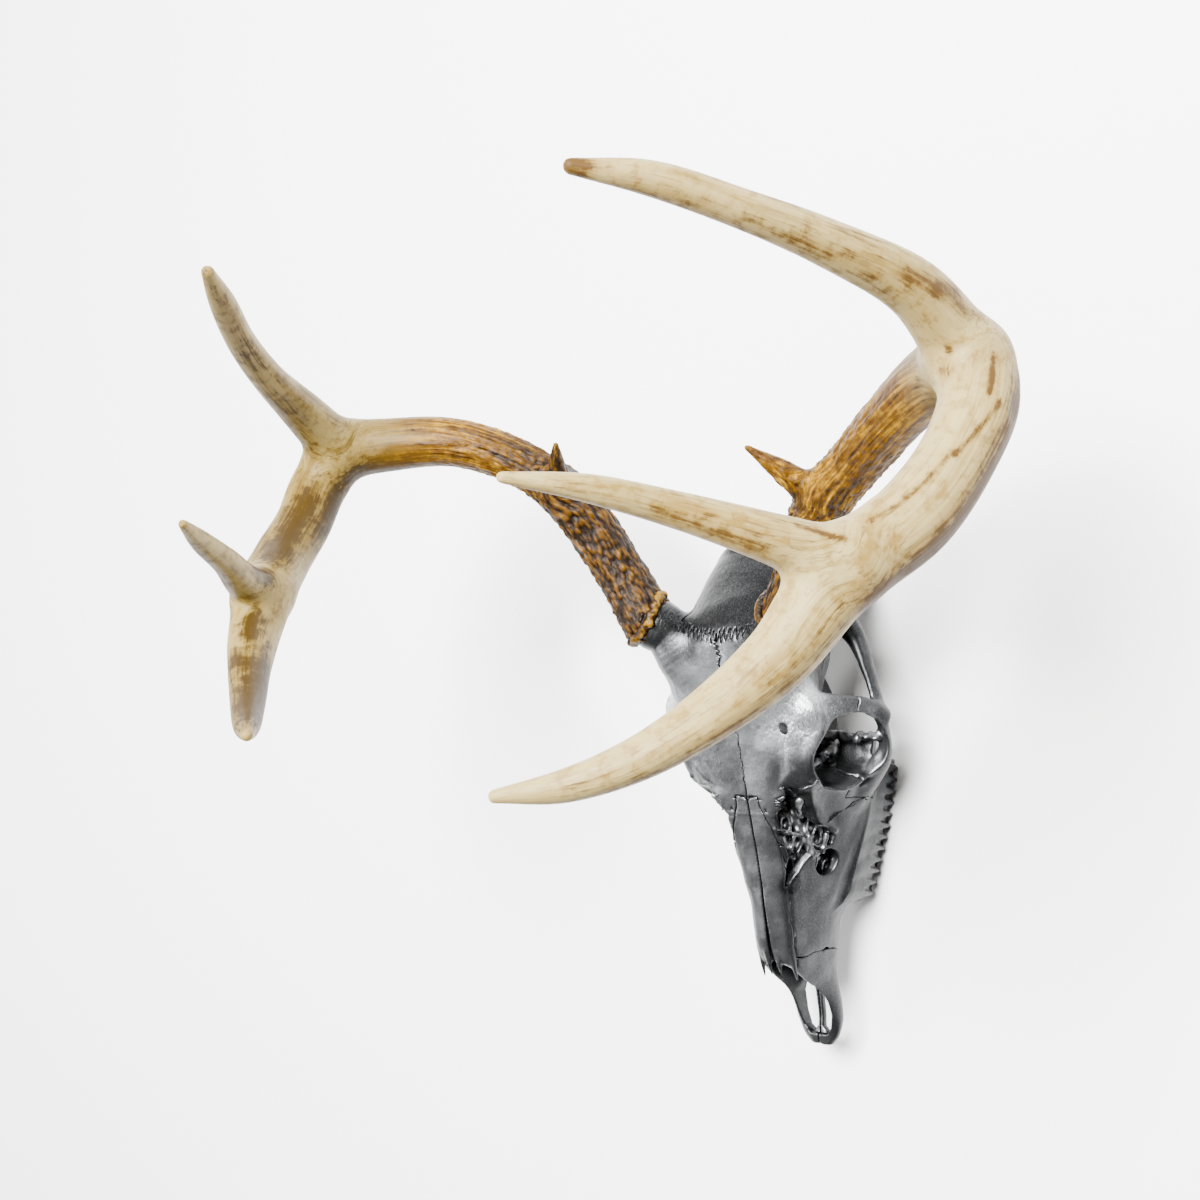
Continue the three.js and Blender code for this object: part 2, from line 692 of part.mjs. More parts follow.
const seamShare = seam / openCurve(beamPath.map(({ at }) => at)).getLength();
const baseEnd = browFork + pastFork;
const beamEnd = secondFork + pastFork;
const bendEnd = thirdFork + pastFork;
for (const [name, side, finish] of [['left', 1, paleAntler], ['right', -1, tanAntler]]) {
  const grownBeam = solid(beamPart(side, 0, 1, 60, seam));
  const base = solid(beamPart(side, 0, baseEnd, 12)).add(solid(burrRing(side)));
  const grownPedicle = solid(side > 0 ? pedicle(seam) : flipped(pedicle(seam)));
  addMesh(`antler_base_${name}`, geometryOf(mainBody(base.subtract(grownPedicle))), darkAntler);
  addMesh(`antler_beam_${name}`, beamPart(side, baseEnd + seamShare, beamEnd, 18), finish);
  addMesh(`antler_bend_${name}`, beamPart(side, beamEnd + seamShare, bendEnd, 12), finish);
  addMesh(`antler_beam_tip_${name}`, beamPart(side, bendEnd + seamShare, 1, 18), finish);
  addMesh(`brow_tine_${name}`, geometryOf(tine(browTine, side, grownBeam, 10)), darkAntler);
  addMesh(`second_tine_${name}`, geometryOf(tine(secondTine, side, grownBeam, 18)), finish);
  addMesh(`third_tine_${name}`, geometryOf(tine(thirdTine, side, grownBeam, 14)), finish);
}

// Tip the skull back until the last teeth and the nape processes share the floor
deer.rotation.x = -THREE.MathUtils.degToRad(restingTilt);
deer.updateMatrixWorld(true);
const box = new THREE.Box3().setFromObject(deer, true);
const skullGroup = new THREE.Group();
skullGroup.add(deer);
skullGroup.position.set(-(box.min.x + box.max.x) / 2, -(box.min.y + box.max.y) / 2, -box.min.z);
skullGroup.updateMatrixWorld(true);

export default skullGroup;
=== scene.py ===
import itertools
import math
import bpy
import numpy as np
from mathutils import Matrix, Vector


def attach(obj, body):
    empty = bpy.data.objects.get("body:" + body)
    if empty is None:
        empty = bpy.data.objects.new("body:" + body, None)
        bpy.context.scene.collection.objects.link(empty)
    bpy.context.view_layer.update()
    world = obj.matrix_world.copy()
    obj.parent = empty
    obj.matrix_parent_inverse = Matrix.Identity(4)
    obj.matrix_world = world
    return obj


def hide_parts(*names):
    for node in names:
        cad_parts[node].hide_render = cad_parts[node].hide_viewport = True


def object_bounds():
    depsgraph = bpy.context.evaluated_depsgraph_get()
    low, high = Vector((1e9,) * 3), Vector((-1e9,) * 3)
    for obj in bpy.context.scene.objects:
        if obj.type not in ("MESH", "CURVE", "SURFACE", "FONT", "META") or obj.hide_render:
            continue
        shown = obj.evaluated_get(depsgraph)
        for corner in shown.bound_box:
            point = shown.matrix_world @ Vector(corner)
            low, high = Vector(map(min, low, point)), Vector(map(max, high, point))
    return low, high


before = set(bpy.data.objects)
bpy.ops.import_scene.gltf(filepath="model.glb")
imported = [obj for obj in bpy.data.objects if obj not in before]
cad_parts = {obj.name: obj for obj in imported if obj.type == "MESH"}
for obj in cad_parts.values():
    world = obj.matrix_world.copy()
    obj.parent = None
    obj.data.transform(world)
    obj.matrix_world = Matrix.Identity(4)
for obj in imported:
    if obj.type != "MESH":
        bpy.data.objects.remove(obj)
cad_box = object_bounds()
box_low, box_high = (np.array(corner) for corner in cad_box)

# Skull frame in millimetres: x to the deer's left, y back from the snout tip, z up
skull_length = 277.0
resting_tilt = math.radians(8.8)
tilt_cos, tilt_sin = math.cos(resting_tilt), math.sin(resting_tilt)
frame_shift = np.array([-0.03083, -205.37943, 20.25401])
last_tooth = (155.0, 3.5)
bone_step = 0.62
antler_step = 0.9
burr_step = 0.45
burr_radius = 14.6
suture_gap = 0.14
middle_gap = 0.13
far = 40.0
endless = 9e9


# Curves and noise
def profile(knots):
    """Smooth value along a line through a few knots."""
    table = np.array(knots, float)
    x, v = table[:, 0], table[:, 1]
    count = len(x)
    before = np.maximum(np.arange(count) - 1, 0)
    after = np.minimum(np.arange(count) + 1, count - 1)
    slope = (v[after] - v[before]) / (x[after] - x[before])

    def at(where):
        q = np.clip(np.asarray(where, float), x[0], x[-1])
        i = np.clip(np.searchsorted(x, q, side="right") - 1, 0, count - 2)
        span = x[i + 1] - x[i]
        t = (q - x[i]) / span
        ease = t * t * (3 - 2 * t)
        bend = t * (1 - t) ** 2 * span * slope[i] - t * t * (1 - t) * span * slope[i + 1]
        return v[i] * (1 - ease) + v[i + 1] * ease + bend

    return at


def smooth_path(points, per_segment=8, closed=False):
    """Points of a smooth curve through the given ones."""
    p = np.array(points, float)
    if closed:
        a, b, c, d = np.roll(p, 1, 0), p, np.roll(p, -1, 0), np.roll(p, -2, 0)
    else:
        full = np.vstack([2 * p[0] - p[1], p, 2 * p[-1] - p[-2]])
        a, b, c, d = full[:-3], full[1:-2], full[2:-1], full[3:]
    gap = [np.sqrt(np.linalg.norm(f - e, axis=1))[:, None] for e, f in ((a, b), (b, c), (c, d))]
    t1 = ((b - a) / gap[0] - (c - a) / (gap[0] + gap[1]) + (c - b) / gap[1]) * gap[1]
    t2 = ((c - b) / gap[1] - (d - b) / (gap[1] + gap[2]) + (d - c) / gap[2]) * gap[1]
    t = (np.arange(per_segment) / per_segment)[None, :, None]
    b, c, t1, t2 = (m[:, None, :] for m in (b, c, t1, t2))
    out = b + t * (t1 + t * ((3 * (c - b) - 2 * t1 - t2) + t * (2 * (b - c) + t1 + t2)))
    out = out.reshape(-1, p.shape[1])
    return out if closed else np.vstack([out, p[-1]])


def lengths(path):
    return np.concatenate([[0.0], np.cumsum(np.linalg.norm(np.diff(path, axis=0), axis=1))])


lattice = np.random.default_rng(11).random((32, 32, 32)).astype(np.float32)
corners = list(itertools.product((0, 1), repeat=3))


def noise(x, y, z, seed=0.0):
    """Soft noise from 0 to 1 on points already divided by its grain."""
    q = [np.asarray(c, np.float32) + np.float32(seed * 7.31 + 3.7 * k) for k, c in enumerate((x, y, z))]
    cell = [np.floor(c).astype(np.int32) for c in q]
    sides = []
    for c, i in zip(q, cell):
        f = c - i
        f = f * f * (3 - 2 * f)
        sides.append(((i & 31, 1 - f), ((i + 1) & 31, f)))
    out = 0.0
    for (a, wx), (b, wy), (c, wz) in itertools.product(*sides):
        out = out + lattice[a, b, c] * wx * wy * wz
    return out


def pearls(x, y, z, seed=0):
    """Round bumps: 1 at the middle of each, falling to 0 between them."""
    q = np.stack([x, y, z], 1).astype(np.float32)
    cell = np.floor(q).astype(np.int32)
    best = np.full(len(q), 9.0, np.float32)
    for shift in itertools.product((-1, 0, 1), repeat=3):
        c = cell + np.array(shift, np.int32)
        centre = np.stack([lattice[(c[:, 0] + k * 5 + seed) & 31, (c[:, 1] + k * 9) & 31,
                                   (c[:, 2] + k * 3) & 31] for k in range(3)], 1)
        best = np.minimum(best, ((c + centre - q) ** 2).sum(1))
    return np.clip(1 - np.sqrt(best) / 0.85, 0, 1)


def smooth_step(low, high, value):
    t = np.clip((value - low) / (high - low), 0, 1)
    return t * t * (3 - 2 * t)


# Modelling in clay
def soft_min(a, b, blend):
    if blend <= 0:
        return np.minimum(a, b)
    h = np.clip(0.5 + 0.5 * (b - a) / blend, 0, 1)
    return b + (a - b) * h - blend * h * (1 - h)


def outline_distance(u, v, outline):
    """Signed distance in a plane to a closed outline, negative inside."""
    p = np.array(outline, np.float32)
    best = None
    inside = None
    for (ax, ay), (bx, by) in zip(p, np.roll(p, -1, 0)):
        dx, dy = bx - ax, by - ay
        t = np.clip(((u - ax) * dx + (v - ay) * dy) / (dx * dx + dy * dy + 1e-9), 0, 1)
        d = (u - ax - t * dx) ** 2 + (v - ay - t * dy) ** 2
        crosses = ((ay > v) != (by > v)) & (u < (v - ay) * dx / (dy if abs(dy) > 1e-9 else 1e-9) + ax)
        best = d if best is None else np.minimum(best, d)
        inside = crosses if inside is None else inside ^ crosses
    return np.where(inside, -1.0, 1.0) * np.sqrt(best)


def egg_distance(x, y, z, half):
    """Near distance to an egg shape round the origin, from offsets along its three half sizes."""
    a, b, c = half
    k0 = np.sqrt((x / a) ** 2 + (y / b) ** 2 + (z / c) ** 2)
    k1 = np.sqrt((x / a ** 2) ** 2 + (y / b ** 2) ** 2 + (z / c ** 2) ** 2)
    return k0 * (k0 - 1) / (k1 + 1e-6)


class Clay:
    """A block of clay: distances to a surface on a fine grid, negative inside."""

    def __init__(self, low, high, step):
        self.low = np.array(low, float)
        self.step = step
        count = np.ceil((np.array(high, float) - self.low) / step).astype(int) + 1
        self.axes = [(self.low[k] + step * np.arange(count[k])).astype(np.float32) for k in range(3)]
        self.field = np.full(count, far, np.float32)

    def window(self, low, high):
        return tuple(slice(int(np.searchsorted(axis, a)), int(np.searchsorted(axis, b)))
                     for axis, a, b in zip(self.axes, low, high))

    def at(self, window):
        x, y, z = (axis[cut] for axis, cut in zip(self.axes, window))
        return x[:, None, None], y[None, :, None], z[None, None, :]

    def whole(self):
        return tuple(slice(0, len(axis)) for axis in self.axes)

    def add(self, window, shape, blend=0.0):
        self.field[window] = soft_min(self.field[window], shape, blend)

    def carve(self, window, shape, blend=0.0):
        self.field[window] = -soft_min(-self.field[window], shape, blend)

    def strap(self, path, wide, high, turns=None, margin=9.0):
        """Field of a flat or round bar along a path, with its half sizes at each point."""
        path = np.array(path, float)
        wide = np.broadcast_to(np.asarray(wide, float), len(path))
        high = np.broadcast_to(np.asarray(high, float), len(path))
        size = max(wide.max(), high.max()) + margin
        window = self.window(path.min(0) - size, path.max(0) + size)
        start = [cut.start for cut in window]
        shape = np.full([cut.stop - cut.start for cut in window], far, np.float32)
        for i in range(len(path) - 1):
            a, b = path[i], path[i + 1]
            reach = max(wide[i], wide[i + 1], high[i], high[i + 1]) + margin
            box = self.window(np.minimum(a, b) - reach, np.maximum(a, b) + reach)
            if any(cut.stop <= cut.start for cut in box):
                continue
            x, y, z = self.at(box)
            along = b - a
            long = float(np.linalg.norm(along))
            if long < 1e-6:
                continue
            along = along / long
            up = np.array([0.0, 0.0, 1.0]) if turns is None else np.array(turns[i], float)
            side = np.cross(along, up)
            if np.linalg.norm(side) < 1e-3:
                side = np.cross(along, [0.0, 1.0, 0.0])
            side /= np.linalg.norm(side)
            rise = np.cross(side, along)
            qx, qy, qz = x - a[0], y - a[1], z - a[2]
            s = qx * along[0] + qy * along[1] + qz * along[2]
            t = np.clip(s / long, 0, 1)
            over = s - t * long
            if wide[i] == high[i] and wide[i + 1] == high[i + 1]:
                flat = qx * qx + qy * qy + qz * qz - s * s
                d = np.sqrt(np.maximum(flat, 0) + over * over) - (wide[i] + t * (wide[i + 1] - wide[i]))
            else:
                p = qx * side[0] + qy * side[1] + qz * side[2]
                q = qx * rise[0] + qy * rise[1] + qz * rise[2]
                w = wide[i] + t * (wide[i + 1] - wide[i])
                h = high[i] + t * (high[i + 1] - high[i])
                d = egg_distance(p, q, over, (w, h, np.minimum(w, h)))
            inner = tuple(slice(cut.start - o, cut.stop - o) for cut, o in zip(box, start))
            shape[inner] = np.minimum(shape[inner], d)
        return window, shape

    def rod(self, path, size):
        """Field of a round bar along a path."""
        return self.strap(path, size, size)

    def egg(self, centre, half, turn=None, margin=9.0):
        """Field of an egg shape with three half sizes, turned by a matrix."""
        size = max(half) + margin
        centre = np.array(centre, float)
        window = self.window(centre - size, centre + size)
        x, y, z = self.at(window)
        x, y, z = x - centre[0], y - centre[1], z - centre[2]
        if turn is not None:
            m = np.array(turn).T
            x, y, z = (m[k, 0] * x + m[k, 1] * y + m[k, 2] * z for k in range(3))
        return window, egg_distance(x, y, z, half).astype(np.float32)

    def loft(self, shape, grow=0.0):
        """Field of a body lofted along the skull from profiles of its half section."""
        window = self.window((-endless, shape["from"] - 9, -endless), (endless, shape["to"] + 9, endless))
        x, y, z = (axis[cut] for axis, cut in zip(self.axes, window))
        coarse = [np.arange(axis[0], axis[-1] + 2 * self.step, 2 * self.step) for axis in (x, y, z)]
        slabs = np.zeros([len(c) for c in coarse], np.float32)
        u, v = coarse[0][:, None], coarse[2][None, :]
        for j, here in enumerate(coarse[1]):
            at = float(np.clip(here, shape["from"], shape["to"]))
            half = [(0.0, shape["roof"](at) + grow)]
            for part, lift in (("shoulder", 0.7), ("wide", 0.0), ("low", -0.7)):
                side = max(abs(lift), 0.3 + 0.7 * (lift == 0))
                half.append((shape[part][0](at) + grow * side, shape[part][1](at) + grow * lift))
            half.append((0.0, shape["floor"](at) - grow))
            ring = half + [(-a, b) for a, b in reversed(half[1:4])]
            flat = outline_distance(u, v, smooth_path(ring, 6, closed=True))
            end = max(shape["from"] - here, here - shape["to"])
            slabs[:, j, :] = np.maximum(flat, end)
        out = slabs
        for k, axis in enumerate((x, y, z)):
            place = (axis - coarse[k][0]) / (2 * self.step)
            i = np.clip(place.astype(int), 0, len(coarse[k]) - 2)
            share = (place - i).astype(np.float32)
            share = share.reshape([-1 if n == k else 1 for n in range(3)])
            out = np.take(out, i, k) * (1 - share) + np.take(out, i + 1, k) * share
        return window, out

    def prism(self, outline, view, low=None, high=None, margin=9.0):
        """Field of an outline drawn in side view (y, z) or in plan (x, y), between two limits."""
        p = np.array(outline, float)
        through = 0 if view == "side" else 2
        first = np.insert(p.min(0), through, -endless if low is None else low) - margin
        last = np.insert(p.max(0), through, endless if high is None else high) + margin
        window = self.window(first, last)
        places = self.at(window)
        limit = places[through]
        u, v = (places[k].take(0, through) for k in range(3) if k != through)
        shape = np.expand_dims(outline_distance(u, v, outline), through)
        if low is not None:
            shape = np.maximum(shape, low - limit)
        if high is not None:
            shape = np.maximum(shape, limit - high)
        return window, np.broadcast_to(shape, [cut.stop - cut.start for cut in window])

    def rough(self, window, grain, seed=0):
        x, y, z = self.at(window)
        x, y, z = np.broadcast_arrays(x / grain, y / grain, z / grain)
        return noise(x, y, z, seed) - 0.5


def net(field, low, step):
    """Quads round the zero surface of a grid of distances."""
    inside = field < 0
    near = [slice(0, -1), slice(1, None)]
    total = np.zeros([n - 1 for n in field.shape], np.uint8)
    for i, j, k in corners:
        total += inside[near[i], near[j], near[k]]
    active = (total > 0) & (total < 8)
    cells = np.argwhere(active)
    number = np.full(active.shape, -1, np.int32)
    number[active] = np.arange(len(cells), dtype=np.int32)
    place = np.zeros((len(cells), 3), np.float32)
    hits = np.zeros(len(cells), np.float32)
    corner = {at: field[tuple((cells + at).T)] for at in corners}
    for axis, start in itertools.product(range(3), corners):
        if start[axis]:
            continue
        end = tuple(1 if n == axis else at for n, at in enumerate(start))
        f0, f1 = corner[start], corner[end]
        cross = (f0 < 0) != (f1 < 0)
        t = np.where(cross, f0 / np.where(cross, f0 - f1, 1), 0)
        point = np.tile(np.array(start, np.float32), (len(cells), 1))
        point[:, axis] = t
        place += point * cross[:, None]
        hits += cross
    place = (place / hits[:, None] + cells) * step + np.asarray(low)
    quads = []
    for axis in range(3):
        others = [n for n in range(3) if n != axis]
        low_cut = [slice(None)] * 3
        high_cut = [slice(None)] * 3
        low_cut[axis], high_cut[axis] = slice(0, -1), slice(1, None)
        change = inside[tuple(low_cut)] != inside[tuple(high_cut)]
        trim = [slice(None)] * 3
        for n in others:
            trim[n] = slice(1, -1)
        change = change[tuple(trim)]
        found = np.argwhere(change)
        for n in others:
            found[:, n] += 1
        first_in = inside[tuple(found.T)]
        ring = []
        for a, b in ((0, 0), (1, 0), (1, 1), (0, 1)):
            c = found.copy()
            c[:, others[0]] -= a
            c[:, others[1]] -= b
            ring.append(number[tuple(c.T)])
        ring = np.stack(ring, 1)
        turn = first_in if axis != 1 else ~first_in
        ring[~turn] = ring[~turn][:, ::-1]
        quads.append(ring)
    return place, np.concatenate(quads)


def normals_of(points, quads):
    a, b, c, d = (points[quads[:, k]] for k in range(4))
    flat = np.cross(c - a, d - b)
    out = np.zeros_like(points)
    for k in range(4):
        for n in range(3):
            out[:, n] += np.bincount(quads[:, k], flat[:, n], len(points))
    return out / (np.linalg.norm(out, axis=1, keepdims=True) + 1e-12)


def main_surface(points, quads):
    """The largest connected part, without loose crumbs."""
    label = np.arange(len(points))
    for _ in range(400):
        low = label[quads].min(1)
        new = label.copy()
        for k in range(4):
            np.minimum.at(new, quads[:, k], low)
        new = new[new]
        if np.array_equal(new, label):
            break
        label = new
    values, counts = np.unique(label, return_counts=True)
    keep = label == values[counts.argmax()]
    if keep.all():
        return points, quads
    number = np.cumsum(keep) - 1
    return points[keep], number[quads[keep[quads[:, 0]]]]


def mesh_of(field, low, step):
    """Points and quads of the largest surface in a grid of distances."""
    return main_surface(*net(field, low, step))


def mirrored(points, quads):
    return points * [-1, 1, 1], quads[:, ::-1]


def to_row(points):
    """From the skull's frame in millimetres to the resting frame in metres."""
    x, y, z = points.T
    level = np.stack([x, tilt_cos * y + tilt_sin * z, tilt_cos * z - tilt_sin * y], 1)
    return level / 1000 + frame_shift / 1000


def put(name, data):
    """A new object in the scene."""
    thing = bpy.data.objects.new(name, data)
    bpy.context.scene.collection.objects.link(thing)
    return thing


def piece(name, points, quads, material, nodes=(), attributes=None):
    mesh = bpy.data.meshes.new(name)
    placed = np.clip(to_row(points), box_low, box_high).astype(np.float32)
    mesh.vertices.add(len(placed))
    mesh.vertices.foreach_set("co", placed.ravel())
    mesh.loops.add(quads.size)
    mesh.loops.foreach_set("vertex_index", quads.astype(np.int32).ravel())
    mesh.polygons.add(len(quads))
    mesh.polygons.foreach_set("loop_start", np.arange(0, quads.size, 4, dtype=np.int32))
    mesh.polygons.foreach_set("use_smooth", np.ones(len(quads), bool))
    for key, value in (attributes or {}).items():
        kind = "FLOAT_VECTOR" if value.ndim == 2 else "FLOAT"
        made = mesh.attributes.new(key, kind, "POINT")
        made.data.foreach_set("vector" if value.ndim == 2 else "value", value.astype(np.float32).ravel())
    mesh.update(calc_edges=True)
    mesh.validate()
    mesh.materials.append(material)
    thing = put(name, mesh)
    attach(thing, "root")
    if nodes:
        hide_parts(*nodes)
    return thing


# Finishes
class Tone:
    """A value or colour on its way through a finish."""

    def __init__(self, tree, socket=None):
        self.tree = tree
        self.socket = socket

    def node(self, kind, settings=None, sockets=None, out=0):
        made = self.tree.nodes.new(kind)
        for name, value in (settings or {}).items():
            setattr(made, name, value)
        for name, value in (sockets or {}).items():
            if isinstance(value, Tone):
                self.tree.links.new(value.socket, made.inputs[name])
            else:
                made.inputs[name].default_value = value
        return Tone(self.tree, made.outputs[out]) if made.outputs else None

    def maths(self, operation, *values):
        return self.node("ShaderNodeMath", {"operation": operation}, dict(enumerate(values)))

    def __add__(self, other):
        return self.maths("ADD", self, other)

    def __radd__(self, other):
        return self.maths("ADD", other, self)

    def __sub__(self, other):
        return self.maths("SUBTRACT", self, other)

    def __rsub__(self, other):
        return self.maths("SUBTRACT", other, self)

    def __mul__(self, other):
        return self.maths("MULTIPLY", self, other)

    def __rmul__(self, other):
        return self.maths("MULTIPLY", other, self)

    def __abs__(self):
        return self.maths("ABSOLUTE", self)

    def larger(self, other):
        return self.maths("MAXIMUM", self, other)

    def held(self):
        return self.node("ShaderNodeClamp", None, {"Value": self})

    def between(self, low, high):
        """0 below low, 1 above high, smooth between them."""
        settings = {"interpolation_type": "SMOOTHSTEP"}
        limits = {"Value": self, "From Min": low, "From Max": high}
        return self.node("ShaderNodeMapRange", settings, limits)

    def toward(self, other, share):
        """Colour mixed with another by a share."""
        settings = {"data_type": "RGBA", "clamp_factor": True}
        return self.node("ShaderNodeMix", settings, {0: share, 6: self, 7: other}, 2)


class Finish(Tone):
    """A material under way: its places on the surface and its shader."""

    def __init__(self, name):
        self.material = bpy.data.materials.new(name)
        self.material.use_nodes = True
        super().__init__(self.material.node_tree)
        self.tree.nodes.clear()
        self.place = self.node("ShaderNodeTexCoord", out=3)

    def colour(self, red, green, blue):
        return self.node("ShaderNodeMix", {"data_type": "RGBA"},
                         {0: 0.0, 6: (red, green, blue, 1), 7: (red, green, blue, 1)}, 2)

    def read(self, name, vector=False):
        return self.node("ShaderNodeAttribute", {"attribute_name": name}, out=1 if vector else 2)

    def stretched(self, vector, x, y, z):
        return self.node("ShaderNodeVectorMath", {"operation": "MULTIPLY"}, {0: vector, 1: (x, y, z)})

    def grain(self, scale, detail=3.0, rough=0.55, vector=None, warp=0.0):
        where = self.place if vector is None else vector
        return self.node("ShaderNodeTexNoise", None, {
            "Vector": where, "Scale": scale, "Detail": detail, "Roughness": rough, "Distortion": warp})

    def relief(self, height, strength, distance):
        sockets = {"Height": height, "Strength": strength, "Distance": distance}
        return self.node("ShaderNodeBump", None, sockets)

    def done(self, **sockets):
        names = {key.replace("_", " "): value for key, value in sockets.items()}
        shader = self.node("ShaderNodeBsdfPrincipled", None, names)
        self.node("ShaderNodeOutputMaterial", None, {"Surface": shader})
        return self.material


def silver_paint(name, bright=1.0):
    f = Finish(name)
    painted_light_and_shade = f.read("painted_light_and_shade")
    painted_shade = f.read("painted_shade")
    brushed = f.read("brushed")
    stitch = f.read("stitch", vector=True)
    run, away, near = (f.node("ShaderNodeSeparateXYZ", None, {0: stitch}, n) for n in range(3))
    cloud = f.grain(38, 4, 0.6)
    fleck = f.grain(1500, 2, 0.7)
    fine = f.grain(2600, 2, 0.6)
    strokes = f.grain(1, 3, 0.6, f.stretched(f.place, 1500, 420, 800), 0.6)
    # Interlocked sutures: two wandering zigzags beside each other
    sutures = None
    for period, size, seed, width in ((3.1, 4.6, 3.0, 1.3), (2.3, 3.4, 11.0, 1.0)):
        moved = f.node("ShaderNodeVectorMath", {"operation": "ADD"}, {0: stitch, 1: (seed, 0, 0)})
        wander = f.grain(0.16, 3, 0.6, f.stretched(moved, 1, 0, 0))
        beat = f.maths("PINGPONG", run * (1 / period) + wander * 3.0, 0.5)
        reach = size * (wander * 2.2 - 0.1).held()
        line = abs(away - (beat * 4 - 1) * reach + (wander - 0.5) * 3.0)
        mark = 1 - line.between(width * 0.25, width)
        sutures = mark if sutures is None else sutures.larger(mark * 0.8)
    sutures = sutures * near
    # The coat runs from dark through mid to light as the painted light and shade from the mesh rise: dark is
    # painted shade in hollows, light is painted highlight
    dark = f.colour(0.0075, 0.0078, 0.0085)
    mid = f.colour(0.046 * bright, 0.048 * bright, 0.0495 * bright)
    light = f.colour(0.60 * bright, 0.612 * bright, 0.632 * bright)
    shade = (cloud * 0.24 + painted_light_and_shade - painted_shade * 0.8 - sutures * 0.25 + 0.14).held()
    paint = dark.toward(mid, shade.between(-0.05, 0.40)).toward(light, shade.between(0.34, 1.05))
    paint = paint.toward(dark, fleck.between(0.52, 0.30) * 0.30)
    bright_strokes = strokes.between(0.50, 0.66) * brushed * 0.35
    paint = paint.toward(light, fine.between(0.54, 0.72) * 0.10 + bright_strokes)
    paint = paint.toward(mid, strokes.between(0.48, 0.36) * brushed * 0.55)
    height = fleck * 0.16 + fine * 0.10 + strokes * brushed * 2.2 + cloud * 0.5 - sutures * 2.6
    normal = f.relief(height, 0.55, 0.0007)
    rough = 0.31 + fleck * 0.10 + painted_shade * 0.04
    return f.done(Base_Color=paint, Metallic=0.92, Roughness=rough, Normal=normal)


def antler_finish(name, cream, tan, brown, stain, umber_end, amber_end):
    f = Finish(name)
    along = f.read("along")
    outer = f.read("outer")
    crest = f.read("crest")
    tip = f.read("tip")
    stained = f.read("stained")
    lines = f.read("lines", vector=True)
    cloud = f.grain(24, 3, 0.55, f.place, 0.8)
    mottle = f.grain(170, 4, 0.65)
    pores = f.grain(1100, 2, 0.6)
    zone = f.grain(1, 3, 0.55, f.stretched(lines, 0.011, 0.055, 0.055), 0.5)
    wide = f.grain(1, 3, 0.55, f.stretched(lines, 0.022, 0.21, 0.21), 0.5)
    thin = f.grain(1, 4, 0.62, f.stretched(lines, 0.030, 0.75, 0.75), 0.35)
    hair = f.grain(1, 3, 0.6, f.stretched(lines, 0.06, 2.3, 2.3), 0.3)
    knob = 1 - f.node("ShaderNodeTexVoronoi", None, {
        "Vector": f.stretched(lines, 0.19, 0.46, 0.46), "Scale": 1.0, "Randomness": 0.95}) * 1.35
    side = outer.between(0.50, 0.92)
    # Upper antler: cream, with tan washes and brown streaks gathered in zones
    wash = (wide.between(0.40, 0.72) * (zone.between(0.42, 0.62) * 0.6 + 0.25 + side * 0.35)
            + cloud.between(0.45, 0.75) * 0.35 + mottle.between(0.46, 0.66) * 0.55 + stain).held()
    upper = f.colour(*cream).toward(f.colour(*tan), wash * 0.9)
    streak = (thin.between(0.50, 0.68) * (zone.between(0.50, 0.66) * 0.7 + side * 0.5 + stain * 0.8 + 0.10)
              + cloud.between(0.56, 0.74) * stain * 1.6).held()
    upper = upper.toward(f.colour(*brown), streak * 0.85)
    upper = upper.toward(f.colour(*tan), hair.between(0.55, 0.75) * (0.25 + mottle * 0.3))
    upper = upper.toward(f.colour(*cream), tip.between(0.35, 0.95) * 0.7)
    patch = (stained * 0.95 + (thin - 0.5) * 1.3 + (mottle - 0.5) * 1.3).between(0.26, 0.80)
    upper = upper.toward(f.colour(*tan), stained.between(0.02, 0.7) * (0.45 + mottle * 0.5))
    upper = upper.toward(f.colour(*brown), patch * stained.between(0.0, 0.3) * 0.94)
    # Lower beam: umber furrows between amber and gold crests
    umber = f.colour(0.0060, 0.0024, 0.0004)
    amber = f.colour(0.070, 0.0290, 0.0006)
    gold = f.colour(0.290, 0.150, 0.0045)
    rise = (crest * 0.58 + knob * 0.36 + thin * 0.55 + mottle * 0.40 - 0.70).held()
    bark = umber.toward(amber, rise.between(0.10, 0.50)).toward(gold, rise.between(0.46, 0.86))
    ridged = (thin * 0.8 + mottle * 0.5 + wide * 0.5 - 0.52).held()
    middle = umber.toward(amber, ridged.between(0.16, 0.36)).toward(gold, ridged.between(0.36, 0.62))
    edge = along + (thin - 0.5) * 50 + (mottle - 0.5) * 30 + (wide - 0.5) * 60
    paint = bark.toward(middle, edge.between(umber_end - 22, umber_end + 22))
    paint = paint.toward(upper, edge.between(amber_end - 34, amber_end + 34))
    low = 1 - edge.between(umber_end, amber_end)
    height = thin * 0.45 + hair * 0.22 + pores * 0.10 + mottle * 0.15 + knob * low * 2.2 + thin * low * 1.2
    normal = f.relief(height, 0.38, 0.0009)
    rough = 0.36 + mottle * 0.16 + streak * 0.15 + low * 0.06
    return f.done(Base_Color=paint, Roughness=rough, Normal=normal, Specular_IOR_Level=0.12)


def burr_finish(name):
    f = Finish(name)
    crest = f.read("crest")
    mottle = f.grain(260, 4, 0.65)
    depth = (crest * 1.1 + mottle * 0.7 - 0.55).held()
    umber = f.colour(0.005, 0.0021, 0.0005)
    amber = f.colour(0.024, 0.0095, 0.0004)
    gold = f.colour(0.150, 0.074, 0.0022)
    paint = umber.toward(amber, depth.between(0.05, 0.45)).toward(gold, depth.between(0.45, 0.95))
    normal = f.relief(mottle, 0.35, 0.0009)
    return f.done(Base_Color=paint, Roughness=0.36 + mottle * 0.2, Normal=normal, Specular_IOR_Level=0.15)


